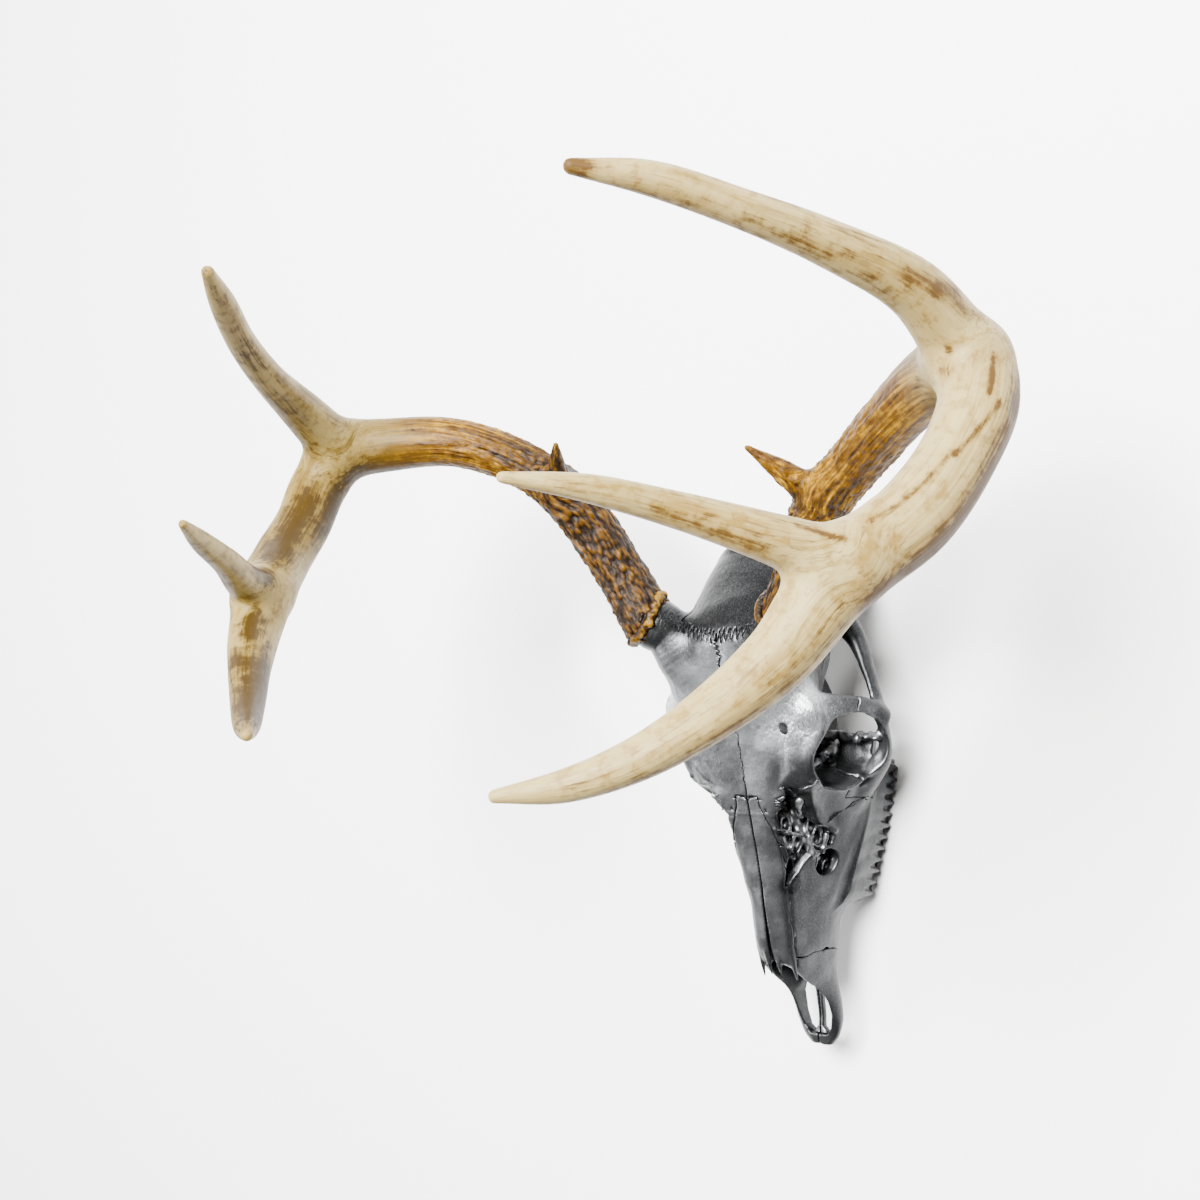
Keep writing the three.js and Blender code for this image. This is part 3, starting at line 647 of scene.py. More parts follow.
silver = silver_paint("silver_paint_on_bone")
# A brighter copy of the silver paint, as painted light on the curls inside the nose
lit_nose_silver = silver_paint("silver_paint_brightened_inside_nose", 1.1)
pale_finish = antler_finish("pale_polished_antler", (0.295, 0.228, 0.092), (0.160, 0.098, 0.0200),
                            (0.050, 0.023, 0.0035), 0.0, 66, 190)
tan_finish = antler_finish("tan_stained_antler", (0.235, 0.172, 0.055), (0.098, 0.057, 0.0060),
                           (0.024, 0.0122, 0.0005), 0.16, 112, 182)
burr_paint = burr_finish("knobbly_burr")


# Skull forms
face = {
    "from": 2, "to": 170,
    "roof": profile([[0, 9], [14, 14], [30, 30], [44, 46], [50, 59], [75, 69], [100, 76.5], [134, 89.5],
                     [170, 101]]),
    "shoulder": (
        profile([[0, 3], [14, 6.5], [30, 8.5], [50, 10.5], [80, 11.5], [122, 17], [140, 26], [170, 33]]),
        profile([[0, 8], [14, 14], [30, 27], [50, 55], [80, 66], [122, 83], [140, 89], [170, 98]])),
    "wide": (
        profile([[0, 4.5], [8, 11], [20, 13.5], [40, 14], [60, 17], [80, 21], [105, 27.5], [130, 36],
                 [148, 45], [170, 51]]),
        profile([[0, 6], [20, 12], [40, 22], [60, 30], [80, 35], [105, 40], [130, 45], [148, 47],
                 [170, 50]])),
    "low": (
        profile([[0, 4], [8, 9.5], [20, 12], [45, 12], [70, 15], [88, 21], [110, 26.5], [140, 32],
                 [170, 30]]),
        profile([[0, 3], [20, 5], [45, 13], [70, 17], [88, 17], [140, 17], [170, 24]])),
    "floor": profile([[0, 3], [20, 5], [45, 12], [70, 16], [100, 17], [140, 19], [170, 30]]),
}
cranium = {
    "from": 128, "to": skull_length,
    "roof": profile([[128, 85.6], [140, 91.6], [163, 100.3], [185, 110], [205, 120.5], [216, 124.5],
                     [232, 118], [250, 105.5], [265, 96], [277, 86]]),
    "shoulder": (
        profile([[128, 20], [145, 31], [164, 36], [182, 37], [200, 31], [216, 27], [240, 23.5], [262, 21],
                 [277, 15]]),
        profile([[128, 84], [145, 91.5], [164, 99.5], [182, 106], [200, 114], [216, 118], [240, 107],
                 [262, 93], [277, 82]])),
    "wide": (
        profile([[128, 25], [145, 40], [164, 47], [178, 50], [190, 41], [203, 35], [220, 35.5], [240, 36],
                 [262, 33], [277, 24]]),
        profile([[128, 76], [145, 83], [164, 94], [178, 95], [190, 98], [203, 98], [220, 92], [240, 86],
                 [262, 76], [277, 70]])),
    "low": (
        profile([[128, 20], [145, 24], [164, 22], [182, 24], [200, 30], [220, 34], [240, 34], [262, 33],
                 [277, 18]]),
        profile([[128, 60], [145, 62], [164, 64], [182, 64], [200, 66], [220, 66], [240, 64], [262, 60],
                 [277, 58]])),
    "floor": profile([[128, 52], [145, 50], [164, 46], [182, 44], [220, 43], [250, 44], [277, 50]]),
}
nose_cavity = {
    "from": 8, "to": 150,
    "roof": profile([[8, 40], [44, 62], [52, 56], [75, 64.5], [100, 71], [134, 80], [150, 80]]),
    "shoulder": (
        profile([[8, 4], [30, 6.5], [50, 8], [80, 9], [122, 13], [150, 12]]),
        profile([[8, 36], [30, 44], [50, 52], [80, 61.5], [122, 74], [150, 74]])),
    "wide": (
        profile([[8, 7], [20, 10], [40, 10.5], [60, 12.5], [80, 16], [105, 22.5], [130, 25], [150, 16]]),
        profile([[8, 20], [20, 24], [40, 28], [60, 34], [80, 40], [105, 46], [130, 54], [150, 60]])),
    "low": (
        profile([[8, 5], [20, 8], [45, 7], [70, 9], [88, 12], [130, 15], [150, 10]]),
        profile([[8, 9], [20, 11], [45, 17], [70, 20], [88, 22], [130, 27], [150, 45]])),
    "floor": profile([[8, 8.5], [20, 9.5], [45, 16], [70, 20], [100, 21], [130, 26], [150, 44]]),
}
# The side of the skull that faces the camera; the paint's darkness is painted shade suited to this side, and
# sides turned away carry a lighter coat, nearer the plain silver
photo_side = np.array([0.638, -0.116, 0.761])
orbit_centre = np.array([48.5, 162, 73.4])
orbit_length, orbit_height, orbit_depth = 20.5, 22.0, 30.0
orbit_swing = Matrix.Rotation(math.radians(-21), 3, "Z")
orbit_turn = np.array(orbit_swing @ Matrix.Rotation(math.radians(-17), 3, "Y"))
burr_centre = np.array([43.6, 226, 125.5])
pedicle_normal = np.array([0.64, 0.46, 0.61]) / np.linalg.norm([0.64, 0.46, 0.61])


def along_path(points, sizes, per_segment=6):
    """Smooth path with a size at each point, from knots of size by share of its length."""
    path = smooth_path(points, per_segment)
    run = lengths(path)
    return path, [profile(size)(run / run[-1]) for size in sizes]


# Twisted bones deep in the eye socket and across the window before the eye: path and half size
socket_bones = (
    (((20, 169, 60), (30, 171, 53), (40, 170, 51), (53, 171, 52)), 2.6),
    (((29, 150, 78), (31, 158, 69), (34, 166, 59)), 1.9),
    (((24, 163, 84), (31, 168, 74), (33, 171, 62)), 1.6),
    (((43, 171, 51), (45, 169, 58)), 2.0),
    (((30, 157, 58), (34, 163, 63)), 2.6))
window_bones = (
    (((27, 136, 82), (23, 128, 76), (22, 119, 66), (23, 108, 60)), 1.5),
    (((13, 121, 83), (18, 119, 74), (23, 117, 62)), 1.1),
    (((27, 118, 54), (24, 109, 54)), 1.3))


def add_teeth(clay):
    front, length, count = 84.0, 76.0, 6
    pitch = length / count
    turn = math.atan2(33.5 - 20, length)
    face_out = np.array([math.cos(turn), -math.sin(turn), 0.0])
    run = np.array([math.sin(turn), math.cos(turn), 0.0])

    def middle_row(share):
        return np.array([20 + 13.5 * share - 3 * (share - 0.5) ** 2, front + length * share, 0.0])

    for i in range(count):
        share = (i + 0.5) / count
        molar = i >= 3
        middle = middle_row(share)
        wide = 6.6 if molar else 4.9 + i * 0.55
        for lobe in ((-0.25, 0.25) if molar else (0.0,)):
            half = pitch * (0.27 if molar else 0.47)
            here = middle + run * lobe * pitch
            path = [here + [0, 0, 24], here + [0, 0, 10], here + [0, 0, 3.4]]
            turned = [run] * 3
            clay.add(*clay.strap(path, [wide, wide, wide * 0.86], [half, half, half * 0.92], turned), 0.8)
            for side, size in ((0.38, 1.25), (-0.42, 1.35)):
                arc = [here + face_out * wide * (side - 0.16 * abs(t)) + run * t * half * 0.85 + [0, 0, 2.2]
                       for t in (-1, -0.5, 0, 0.5, 1)]
                clay.carve(*clay.rod(arc, size), 0.5)
        for lobe in ((-0.5, 0.0, 0.5) if molar else (-0.5, 0.5)):
            notch = middle + run * lobe * pitch
            groove = notch - face_out * (wide + 0.7)
            clay.carve(*clay.strap([groove + [0, 0, 1], groove + [0, 0, 13]], 0.9, 0.7), 0.8)

    def outer_face(share):
        return 5.3 + 1.7 * float(smooth_step(0.05, 0.6, share)) - 2.5 * float(smooth_step(0.08, 0.0, share))

    wall = [middle_row(share) + face_out * outer_face(share) for share in np.linspace(0.0, 0.99, 14)]
    wall += [middle_row(share) - face_out * 5.0 for share in np.linspace(0.97, 0.03, 9)]
    clay.add(*clay.prism([point[:2] for point in wall], "plan", 2.2, 27), 9.0)
    cusps = 12
    for k in range(cusps + 1):
        notch = middle_row(k / cusps)
        low, high = notch + face_out * 2, notch + face_out * 12
        clay.carve(*clay.rod([low + [0, 0, 1.0], high + [0, 0, 3.0]], 1.6), 0.5)
        bite = notch + face_out * (outer_face(k / cusps) + 1.3)
        clay.carve(*clay.rod([bite + [0, 0, lift] for lift in (-2, 5, 13)], [2.7, 2.1, 0.6]), 1.2)


def round_bar(clay, points, knots):
    """Field of a round bar whose half size follows knots by share of its length."""
    path, (half,) = along_path(points, [knots])
    return clay.rod(path, half)


def add_cheek_and_stalk(clay):
    """Cheek arch, the bar behind the eye and the stalk under the burr."""
    path, sizes = along_path([[33, 138, 40], [46, 150, 43], [55.5, 162, 47.5], [57, 176, 52],
                              [54.5, 192, 56], [50, 207, 58.5], [44, 222, 61], [35, 234, 66]],
                             [[[0, 7], [0.2, 5], [0.4, 3], [0.6, 2.6], [0.8, 4], [1, 8]],
                              [[0, 9], [0.2, 7], [0.4, 5], [0.6, 5], [0.8, 6], [1, 8]]])
    clay.add(*clay.strap(path, *sizes), 3)
    clay.add(*round_bar(clay, [[40, 182, 98], [48, 186, 88], [53.5, 187.5, 76], [56.5, 186, 62],
                               [57.5, 182, 52]], [[0, 8], [0.3, 3.8], [0.6, 2.6], [1, 3.4]]), 4)
    end = burr_centre - pedicle_normal * 4.9
    clay.add(*round_bar(clay, [[22, 198, 98], [29, 208, 109], end - pedicle_normal * 7, end],
                        [[0, 19], [0.45, 15.5], [0.8, 13.4], [1, 14.2]]), 7)


def add_nape(clay):
    """Condyles, ear bones, ear tubes, processes, the crest across the back and the throat's keel."""
    clay.add(*clay.egg((13, 274, 57), (7.5, 9, 12), margin=6), 2)
    clay.add(*clay.egg((21, 238, 37), (8, 12, 9)), 2)
    clay.add(*round_bar(clay, [[22, 238, 44], [34, 236, 47], [43, 233, 49]], [[0, 5.5], [1, 5.2]]), 2)
    path, sizes = along_path([[33, 252, 66], [32, 256, 45], [30, 258, 30], [28, 258, 19]],
                             [[[0, 3.6], [1, 3.2]], [[0, 10], [0.5, 6], [1, 3]]])
    clay.add(*clay.strap(path, *sizes, [[0, 1, 0.02]] * len(path)), 2)
    clay.add(*round_bar(clay, [[0, 270, 92], [12, 268, 91], [24, 263, 84], [32, 256, 72], [35, 248, 62]],
                        [[0, 3.4], [0.5, 2.6], [1, 2.4]]), 4)
    path, sizes = along_path([[12, 140, 28], [11, 165, 30], [11, 185, 34], [12, 200, 44]],
                             [[[0, 2], [1, 1.4]], [[0, 12], [0.4, 12], [0.8, 10], [1, 6]]])
    clay.add(*clay.strap(path, *sizes), 1.5)


def uneven(clay, form, grain, seed, depth):
    """A form whose surface wanders by some depth."""
    window, shape = form
    return window, shape + clay.rough(window, grain, seed) * depth


def shape_socket(clay):
    """Eye socket: its raised rim, two bowls and the twisted bones deep in it."""
    bowl = clay.egg(orbit_centre, (orbit_depth, orbit_length, orbit_height), orbit_turn)
    angle = np.linspace(0, 2 * math.pi, 40)
    ring = np.stack([np.full_like(angle, -1.5), np.cos(angle) * (orbit_length + 0.6),
                     np.sin(angle) * (orbit_height + 0.6)], 1) @ orbit_turn.T + orbit_centre
    clay.add(*clay.rod(ring, 2.1), 4)
    clay.carve(*uneven(clay, bowl, 5.0, 1, 0.7), 1.2)
    lower_half = (orbit_depth - 5, orbit_length - 1.5, orbit_height - 1.5)
    lower_bowl = clay.egg(orbit_centre + [4.4, 0.5, -3.6], lower_half, orbit_turn)
    clay.carve(*uneven(clay, lower_bowl, 4.0, 7, 0.9), 1.5)
    for path, size in socket_bones:
        clay.add(*uneven(clay, clay.rod(smooth_path(path), size), 3.2, 8, 2.4), 2.2)


def open_nose(clay):
    """Nose cavity, slits in the snout, window before the eye, hole in the cheek and the nasal tips."""
    clay.carve(*clay.loft(nose_cavity), 0.8)
    clay.carve(*clay.prism([[1.7, 12], [4.5, 9], [8, 12], [10.3, 20], [10.3, 30], [7.6, 37], [4, 40],
                            [2, 34]], "plan", -5, 26), 1.4)
    window = clay.prism([[143, 91.5], [136, 89], [130, 87.5], [123, 84.5], [116, 80.5], [111, 76],
                         [105, 72.5], [98, 71], [89, 69], [97, 67], [103, 64.5], [109, 61.5], [111, 56],
                         [114, 50.5], [118, 51], [121, 56.5], [125, 64], [131, 71], [138, 80.5]],
                        "side", 11, 64)
    clay.carve(*uneven(clay, window, 4.0, 2, 1.8), 1.0)
    clay.carve(*uneven(clay, clay.egg((24, 104, 49.3), (9, 7.2, 7.8)), 3.5, 3, 1.2), 1.0)
    for path, size in window_bones:
        clay.add(*uneven(clay, clay.rod(smooth_path(path), size), 2.6, 8, 2.0), 1.4)
    # Gap between the nasal tips, their spikes, and the notch between the two snout ends
    clay.carve(*clay.rod([[0, 38, 36], [0, 47, 56], [0, 56, 66]], [1.9, 1.5, 0.6]), 0.4)
    for spike in ([[3.4, 56, 60.5], [3.2, 49, 58], [3.0, 42.5, 55]],
                  [[9.6, 57, 57.5], [9.9, 48, 54], [10.3, 40.5, 50.5]]):
        clay.add(*clay.rod(spike, [1.9, 1.4, 0.35]), 1.0)
    clay.carve(*clay.rod([[0, -6, 2], [0, 1, 9], [0, 5, 16]], [1.9, 1.5, 0.9]), 0.8)


def carve_passages(clay):
    """Nape hole, and passages over and behind the eye, beside the ear and at the palate's back."""
    clay.carve(*clay.egg((0, skull_length + 4, 67), (12, 24, 10)), 1.5)
    clay.carve(*clay.rod(smooth_path([[29.2, 172, 108], [29.5, 171, 101], [31, 168, 92]]), 2.7), 0.8)
    groove = smooth_path([[29.2, 171, 105.5], [28.2, 165, 102.3], [27, 157, 99.2], [25.5, 149, 96.6]])
    clay.carve(*clay.rod(groove, np.linspace(1.5, 0.8, len(groove))), 1.2)
    for ends, size, blend in (([[24, 172, 66], [14, 186, 62]], [3.4, 3.0], 1.5),
                              ([[22, 163, 60], [14, 170, 52]], 2.6, 1.2),
                              ([[46, 233, 49.4], [36, 236, 47.5]], [2.8, 2.4], 0.8)):
        clay.carve(*clay.rod(ends, size), blend)
    clay.carve(*clay.strap(smooth_path([[5, 138, 34], [5, 152, 31], [5.5, 170, 30]]), 4.6, 6.0), 1.5)


def trim_underside(clay):
    """Level the teeth and processes with the surface that the skull rests on."""
    window = clay.window((-endless, 80, -endless), (endless, 290, 30))
    y, z = clay.at(window)[1:]
    under = (z - last_tooth[1]) * tilt_cos - (y - last_tooth[0]) * tilt_sin
    clay.carve(window, np.broadcast_to(under + 0.02, clay.field[window].shape))


clay = Clay((-3 * bone_step, -1.5, -2.5), (64, 288, 146), bone_step)
clay.add(*clay.loft(face))
clay.add(*clay.loft(cranium), 2.5)
for work in (add_cheek_and_stalk, add_nape, add_teeth, shape_socket, open_nose, carve_passages,
             trim_underside):
    work(clay)
nose_clay = Clay(clay.low, clay.low + bone_step * (np.array(clay.field.shape) - 1), bone_step)
nose_clay.add(*nose_clay.loft(nose_cavity))
nose_field, nose_low = nose_clay.field, nose_clay.low
jag = clay.rough(clay.whole(), 2.6, 5) * 1.5 + clay.rough(clay.whole(), 7.0, 6) * 2.2


def territory(outline, view, low=None, uneven=1.0):
    window, shape = clay.prism(outline, view, margin=400)
    shape = shape + jag[window] * uneven
    if low is not None:
        x = clay.at(window)[0]
        shape = np.maximum(shape, low - x)
    return shape


nasal_plan = [[-1.2, 106], [-1.2, 36], [12, 36], [12, 52],
              [12.2, 68], [13.6, 90], [14.6, 102], [13.6, 113], [11.6, 121], [7.5, 130], [6.8, 136],
              [2.4, 137.5], [1.2, 134.5], [-8, 134.5], [-8, 106]]
nasal_side = [[38, 48], [60, 57.5], [134, 84.5], [140, 100], [140, 130], [38, 130]]
premaxilla_side = [[-20, -20], [55, -20], [57, 32], [53, 51], [50, 130], [-20, 130]]
zygomatic_side = [[139, 30], [250, 30], [250, 76], [168, 76], [152, 56], [139, 56]]
lacrimal_side = [[118, 66], [139, 44], [139, 56], [152, 56], [156, 62], [148, 86], [136, 90], [122, 82]]
frontal_side = [[112, 66], [118, 66], [122, 82], [136, 90], [148, 86], [156, 62], [168, 76], [212, 76],
                [240, 100], [240, 190], [112, 190]]
maxilla_side = [[57, 32], [55, -20], [170, -20], [170, 30], [139, 30], [139, 44], [118, 66], [112, 66],
                [112, 190], [50, 130], [53, 51]]
pedicle_side = [[205, 104], [217, 98], [232, 104], [242, 120], [242, 190], [205, 190]]
outer_from = 24.0
coronal_back = 216.5
coronal_bow = 0.012


def zigzag(value, period, seed):
    """Interlocking wave of a suture, from -1 to 1."""
    wander = noise(value / 9, value * 0 + 1.7, value * 0 + seed) * 2.4
    phase = value / period + wander
    wave = np.abs((phase % 1) * 4 - 2) - 1
    return wave * (0.55 + 0.9 * noise(value / 4, value * 0 + 5.1, value * 0 + seed))


x, y, z = clay.at(clay.whole())
coronal = y - coronal_back - 3.4 * zigzag(x + 40, 2.9, 2.0) - coronal_bow * x * x
middle_nose = profile([[40, 1.0], [60, 0.75], [85, 0.3], [105, middle_gap], [skull_length, middle_gap]])(y)
middle_brow = 1.5 * zigzag(y, 3.3, 8.0) * smooth_step(150, 196, y) + 0.35 * zigzag(y, 6.0, 3.0)
frontal = np.maximum(territory(frontal_side, "side", None, 0.5), coronal)
frontal = np.minimum(frontal, territory(pedicle_side, "side", outer_from, 0.5))
rest = clay.field
bones = {}
for name, shape in (
        ("nasal", np.maximum(territory(nasal_plan, "plan", uneven=0.35), territory(nasal_side, "side"))),
        ("premaxilla", territory(premaxilla_side, "side")),
        ("zygomatic", territory(zygomatic_side, "side", outer_from)),
        ("lacrimal", territory(lacrimal_side, "side", outer_from, 0.6)),
        ("frontal", frontal),
        ("maxilla", territory(maxilla_side, "side"))):
    gap = {"premaxilla": 0.02, "zygomatic": 0.02, "frontal": 0.06}.get(name, suture_gap)
    bones[name] = np.maximum(rest, shape + gap / 2)
    rest = np.maximum(rest, gap / 2 - shape)
braincase = rest
del jag, rest


def near_path(points, path):
    """Distance from each point, folded onto the left side, to a path."""
    p = np.array(points)
    p[:, 0] = np.abs(p[:, 0])
    best = np.full(len(p), endless)
    path = np.array(path, float)
    for a, b in zip(path[:-1], path[1:]):
        d = b - a
        t = np.clip(((p - a) @ d) / (d @ d), 0, 1)
        best = np.minimum(best, ((p - a - t[:, None] * d) ** 2).sum(1))
    return np.sqrt(best)


ridges = (
    # path, half width, height
    (smooth_path([[37.4, 145.3, 87.6], [31, 136.2, 73.6], [29.5, 128, 62], [30.3, 120.9, 51.4]]), 1.6, 1.2),
    (smooth_path([[33, 136, 32], [29, 118, 34], [25, 100, 36], [20, 86, 38]]), 3.5, 1.0),
    (smooth_path([[36, 186, 104], [30, 205, 104], [27, 225, 104], [24, 248, 95]]), 2.2, 0.9),
    (smooth_path([[44.7, 145.2, 49.9], [50, 156, 46], [57, 170, 49]]), 2.0, 0.6),
    (smooth_path([[41, 141, 76], [37, 134, 66], [34, 127, 57]]), 6.0, -2.2),
    ([[0, 150, 96], [0, 175, 106]], 6.0, -0.8),
    (smooth_path([[20, 140, 93], [24, 155, 98], [27, 168, 103]]), 3.5, -0.8),
    (smooth_path([[33, 168, 103], [37, 176, 103], [34, 186, 107]]), 5.0, 0.8),
    (smooth_path([[17, 128, 84], [21, 142, 91], [30, 150, 94]]), 3.0, 0.6),
)


def reading(field, low, step, points):
    """Values of a grid at points, each folded onto the left side."""
    p = np.array(points)
    p[:, 0] = np.abs(p[:, 0])
    q = (p - np.asarray(low)) / step
    i = np.clip(np.floor(q).astype(int), 0, np.array(field.shape) - 2)
    t = np.clip(q - i, 0, 1)
    out = 0.0
    for at in corners:
        out = out + field[tuple((i + at).T)] * np.where(at, t, 1 - t).prod(1)
    return out


def halo(points, path, reach):
    """1 on a path, fading out round it."""
    return np.exp(-(near_path(points, path) / reach) ** 2)


def stitches(points):
    """Run along the nearest interlocked suture, distance from it, and 1 close to it."""
    middle, y, z = points.T
    back = y - coronal_back - coronal_bow * middle ** 2
    high = smooth_step(80, 95, z)
    is_back = np.abs(back) < np.abs(middle) * 1.6 + 4.5
    near_back = high * (1 - smooth_step(4.5, 8.5, np.abs(back))) * (1 - smooth_step(25, 33, np.abs(middle)))
    near_middle = high * (1 - smooth_step(2.2, 4.2, np.abs(middle))) * smooth_step(186, 196, y)
    near_middle *= 1 - smooth_step(216, 220, y)
    across = (middle + 60, back, near_back)
    lengthwise = (y, middle * 2.4, near_middle)
    return np.stack([np.where(is_back, a, b) for a, b in zip(across, lengthwise)], 1)


def clay_slope(points):
    """Direction in which the clay's distance grows at each point."""
    slope = np.zeros_like(points)
    for k in range(3):
        shift = np.eye(3)[k] * bone_step
        slope[:, k] = (reading(clay.field, clay.low, bone_step, points + shift)
                       - reading(clay.field, clay.low, bone_step, points - shift))
    return slope / (np.linalg.norm(slope, axis=1, keepdims=True) + 1e-6)


def inside_socket(points):
    """1 on the walls of the eye socket."""
    socket = np.array(points)
    socket[:, 0] = np.abs(socket[:, 0])
    inner = (socket - orbit_centre) @ orbit_turn
    deep = (inner / [orbit_depth, orbit_length, orbit_height]) ** 2
    return smooth_step(1.25, 1.05, deep.sum(1)) * smooth_step(-2.0, -9.0, inner[:, 0])


def dress(points, quads):
    """Fine relief, and painted light and shade, of one bone."""
    normal = normals_of(points, quads)
    x, y, z = points.T
    move = np.zeros(len(points))
    for path, wide, high in ridges:
        move += high * halo(points, path, wide)
    soft = noise(x / 9, y / 9, z / 9, 1) - 0.5
    small = noise(x / 2.6, y / 2.6, z / 2.6, 2) - 0.5
    tiny = noise(x / 1.1, y / 1.1, z / 1.1, 3) - 0.5
    up = np.clip(normal[:, 2], 0, 1)
    brow = halo(points, [[33, 172, 104], [40, 186, 98]], 13)
    crown = smooth_step(118, 150, y) * up
    forehead = halo(points, [[0, 190, 112], [19, 197, 108]], 17)
    forehead *= 1 - smooth_step(214, 222, y - 0.4 * np.abs(x))
    move += soft * 0.6 + small * (0.10 + 0.30 * brow) + tiny * (0.05 + 0.26 * brow)
    skin = reading(clay.field, clay.low, bone_step, points)
    surface = np.exp(-(skin / 0.35) ** 2)
    cheek_teeth = (1 - smooth_step(14, 19, z)) * smooth_step(78, 84, y) * (1 - smooth_step(162, 166, y))
    floor_side = smooth_step(1.0, 3.0, (z - last_tooth[1]) - (y - last_tooth[0]) * math.tan(resting_tilt))
    move = move * surface * (1 - 0.75 * cheek_teeth) * floor_side
    points = points + clay_slope(points) * move[:, None]
    in_nose = smooth_step(1.2, 0.2, reading(nose_field, nose_low, bone_step, points))
    # Painted glints along the twisted bones in the eye socket and the window
    painted_glint = np.zeros(len(points))
    for path, size in socket_bones + window_bones:
        painted_glint = np.maximum(painted_glint, 1 - smooth_step(size * 0.9, size * 1.6, near_path(points, path)))
    # Painted light and shade with a little random tone: painted highlights on the brow, the forehead, upward
    # faces, the stalk's neck and the cheek teeth, painted shade on the back of the braincase, the face's
    # flanks and the stalk's base, and a lighter coat on sides turned from the camera
    stalk_shade = halo(points, [[19, 211, 122], [25, 217, 126]], 9)
    top = smooth_step(0.40, 0.85, up) * (1 - smooth_step(214, 226, y))
    painted_light_and_shade = -0.14 + 0.36 * top + 0.40 * forehead + 0.72 * brow + soft * 0.20 + 0.30 * painted_glint
    painted_light_and_shade -= 0.17 * smooth_step(216, 228, y) + 0.16 * smooth_step(238, 252, y)
    painted_light_and_shade += 0.42 * smooth_step(0.05, -0.4, normal @ photo_side)
    painted_light_and_shade -= 0.06 * smooth_step(18, 30, np.abs(x)) * smooth_step(140, 110, y)
    neck = halo(points, [[31, 223, 129], [38, 226, 129]], 8)
    painted_light_and_shade += 0.30 * neck + 0.12 * cheek_teeth - 0.26 * stalk_shade
    # Painted shade in the cheek teeth, under downward faces, inside the eye socket and the nose, inside the
    # solid and in the window's dark opening, less on the twisted bones
    painted_shade = 0.08 * cheek_teeth + 0.30 * smooth_step(0.1, -0.6, normal[:, 2])
    in_nose *= (np.abs(points[:, 0]) < 30) * smooth_step(40, 60, y)
    painted_shade += 0.42 * inside_socket(points) + 0.4 * in_nose
    painted_shade += 0.4 * smooth_step(-0.2, -0.8, skin) - 0.6 * painted_glint
    painted_shade += 0.7 * smooth_step(7, 3.5, near_path(points, [[14, 110, 70], [12, 100, 66], [12, 92, 66]]))
    brushed = np.clip(brow + 0.12 * crown, 0, 1)
    return points, {"painted_light_and_shade": painted_light_and_shade, "painted_shade": np.clip(painted_shade, 0, 1), "brushed": brushed,
                    "stitch": stitches(points)}


def bone(name, field, low, mirror=False):
    points, quads = mesh_of(field, low, bone_step)
    if mirror:
        points, quads = mirrored(points, quads)
    points, attributes = dress(points, quads)
    piece(name, points, quads, silver, [name], attributes)


def cropped(field):
    """The part of a field that holds its surface, and that part's lowest corner."""
    solid = field < 0
    cut = []
    for k in range(3):
        used = np.flatnonzero(solid.any(axis=tuple(n for n in range(3) if n != k)))
        cut.append(slice(max(used[0] - 2, 0), used[-1] + 3))
    low = [clay.axes[k][cut[k].start] for k in range(3)]
    return field[tuple(cut)], low


def whole_braincase():
    """The braincase's left half joined to its mirror image, and the lowest corner of both."""
    middle = int(np.searchsorted(clay.axes[0], -1e-4))
    half = braincase[middle:]
    low = cropped(half)[1]
    back = clay.window((0, low[1], 0), (0, endless, 0))[1]
    half = half[:, back, :]
    edge = clay.axes[0][middle] - bone_step * (len(half) - 1)
    return np.concatenate([half[:0:-1], half], 0), [edge, clay.axes[1][back.start], clay.axes[2][0]]


for name, field in bones.items():
    for side in ("left", "right"):
        mirror = side == "right"
        line = middle_gap
        if name == "frontal":
            line = middle_brow * (-1 if mirror else 1) + middle_gap
        elif name == "nasal":
            line = middle_nose
        half = np.maximum(field, line - x)
        bone(f"{name}_{side}", *cropped(half), mirror)
bone("braincase", *whole_braincase())


def scrolls():
    """Thin curled bones inside the nose, seen through the window and the cheek hole."""
    inner = Clay((0.8, 62, 18), (27, 150, 84), bone_step)
    nose = inner.loft(nose_cavity)
    inner.add(nose[0], nose[1] + 0.9)
    x, y, z = inner.at(inner.whole())
    warp = inner.rough(inner.whole(), 9.0, 9) * 5
    k = 2 * math.pi / 11.0
    u, v, w = x * k * 1.15 + warp * 0.25, y * k * 0.62 + warp * 0.2, z * k + warp * 0.25
    curl = np.sin(u) * np.cos(v) + np.sin(v) * np.cos(w) + np.sin(w) * np.cos(u)
    sheet = np.abs(curl) / k * 0.62 - (0.55 + 0.25 * inner.rough(inner.whole(), 6.0, 4))
    field = np.maximum(inner.field, sheet)
    field = np.maximum(field, 70 + 4 * np.sin(z * 0.4) - y)
    # Only what the window and the cheek hole show
    field = np.maximum(field, np.maximum(5 - x, 39 + np.sin(y * 0.4) - z))
    field[0], field[-1], field[:, 0], field[:, -1], field[:, :, 0], field[:, :, -1] = (far,) * 6
    points, quads = mesh_of(field, inner.low, bone_step)
    for side in ("left", "right"):
        if side == "right":
            points, quads = mirrored(points, quads)
        # The curls get an even painted light and no painted shade
        flat = np.zeros(len(points))
        piece(f"nose_scrolls_{side}", points, quads, lit_nose_silver, (),
              {"painted_light_and_shade": flat + 0.22, "painted_shade": flat, "brushed": flat, "stitch": np.zeros((len(points), 3))})


scrolls()

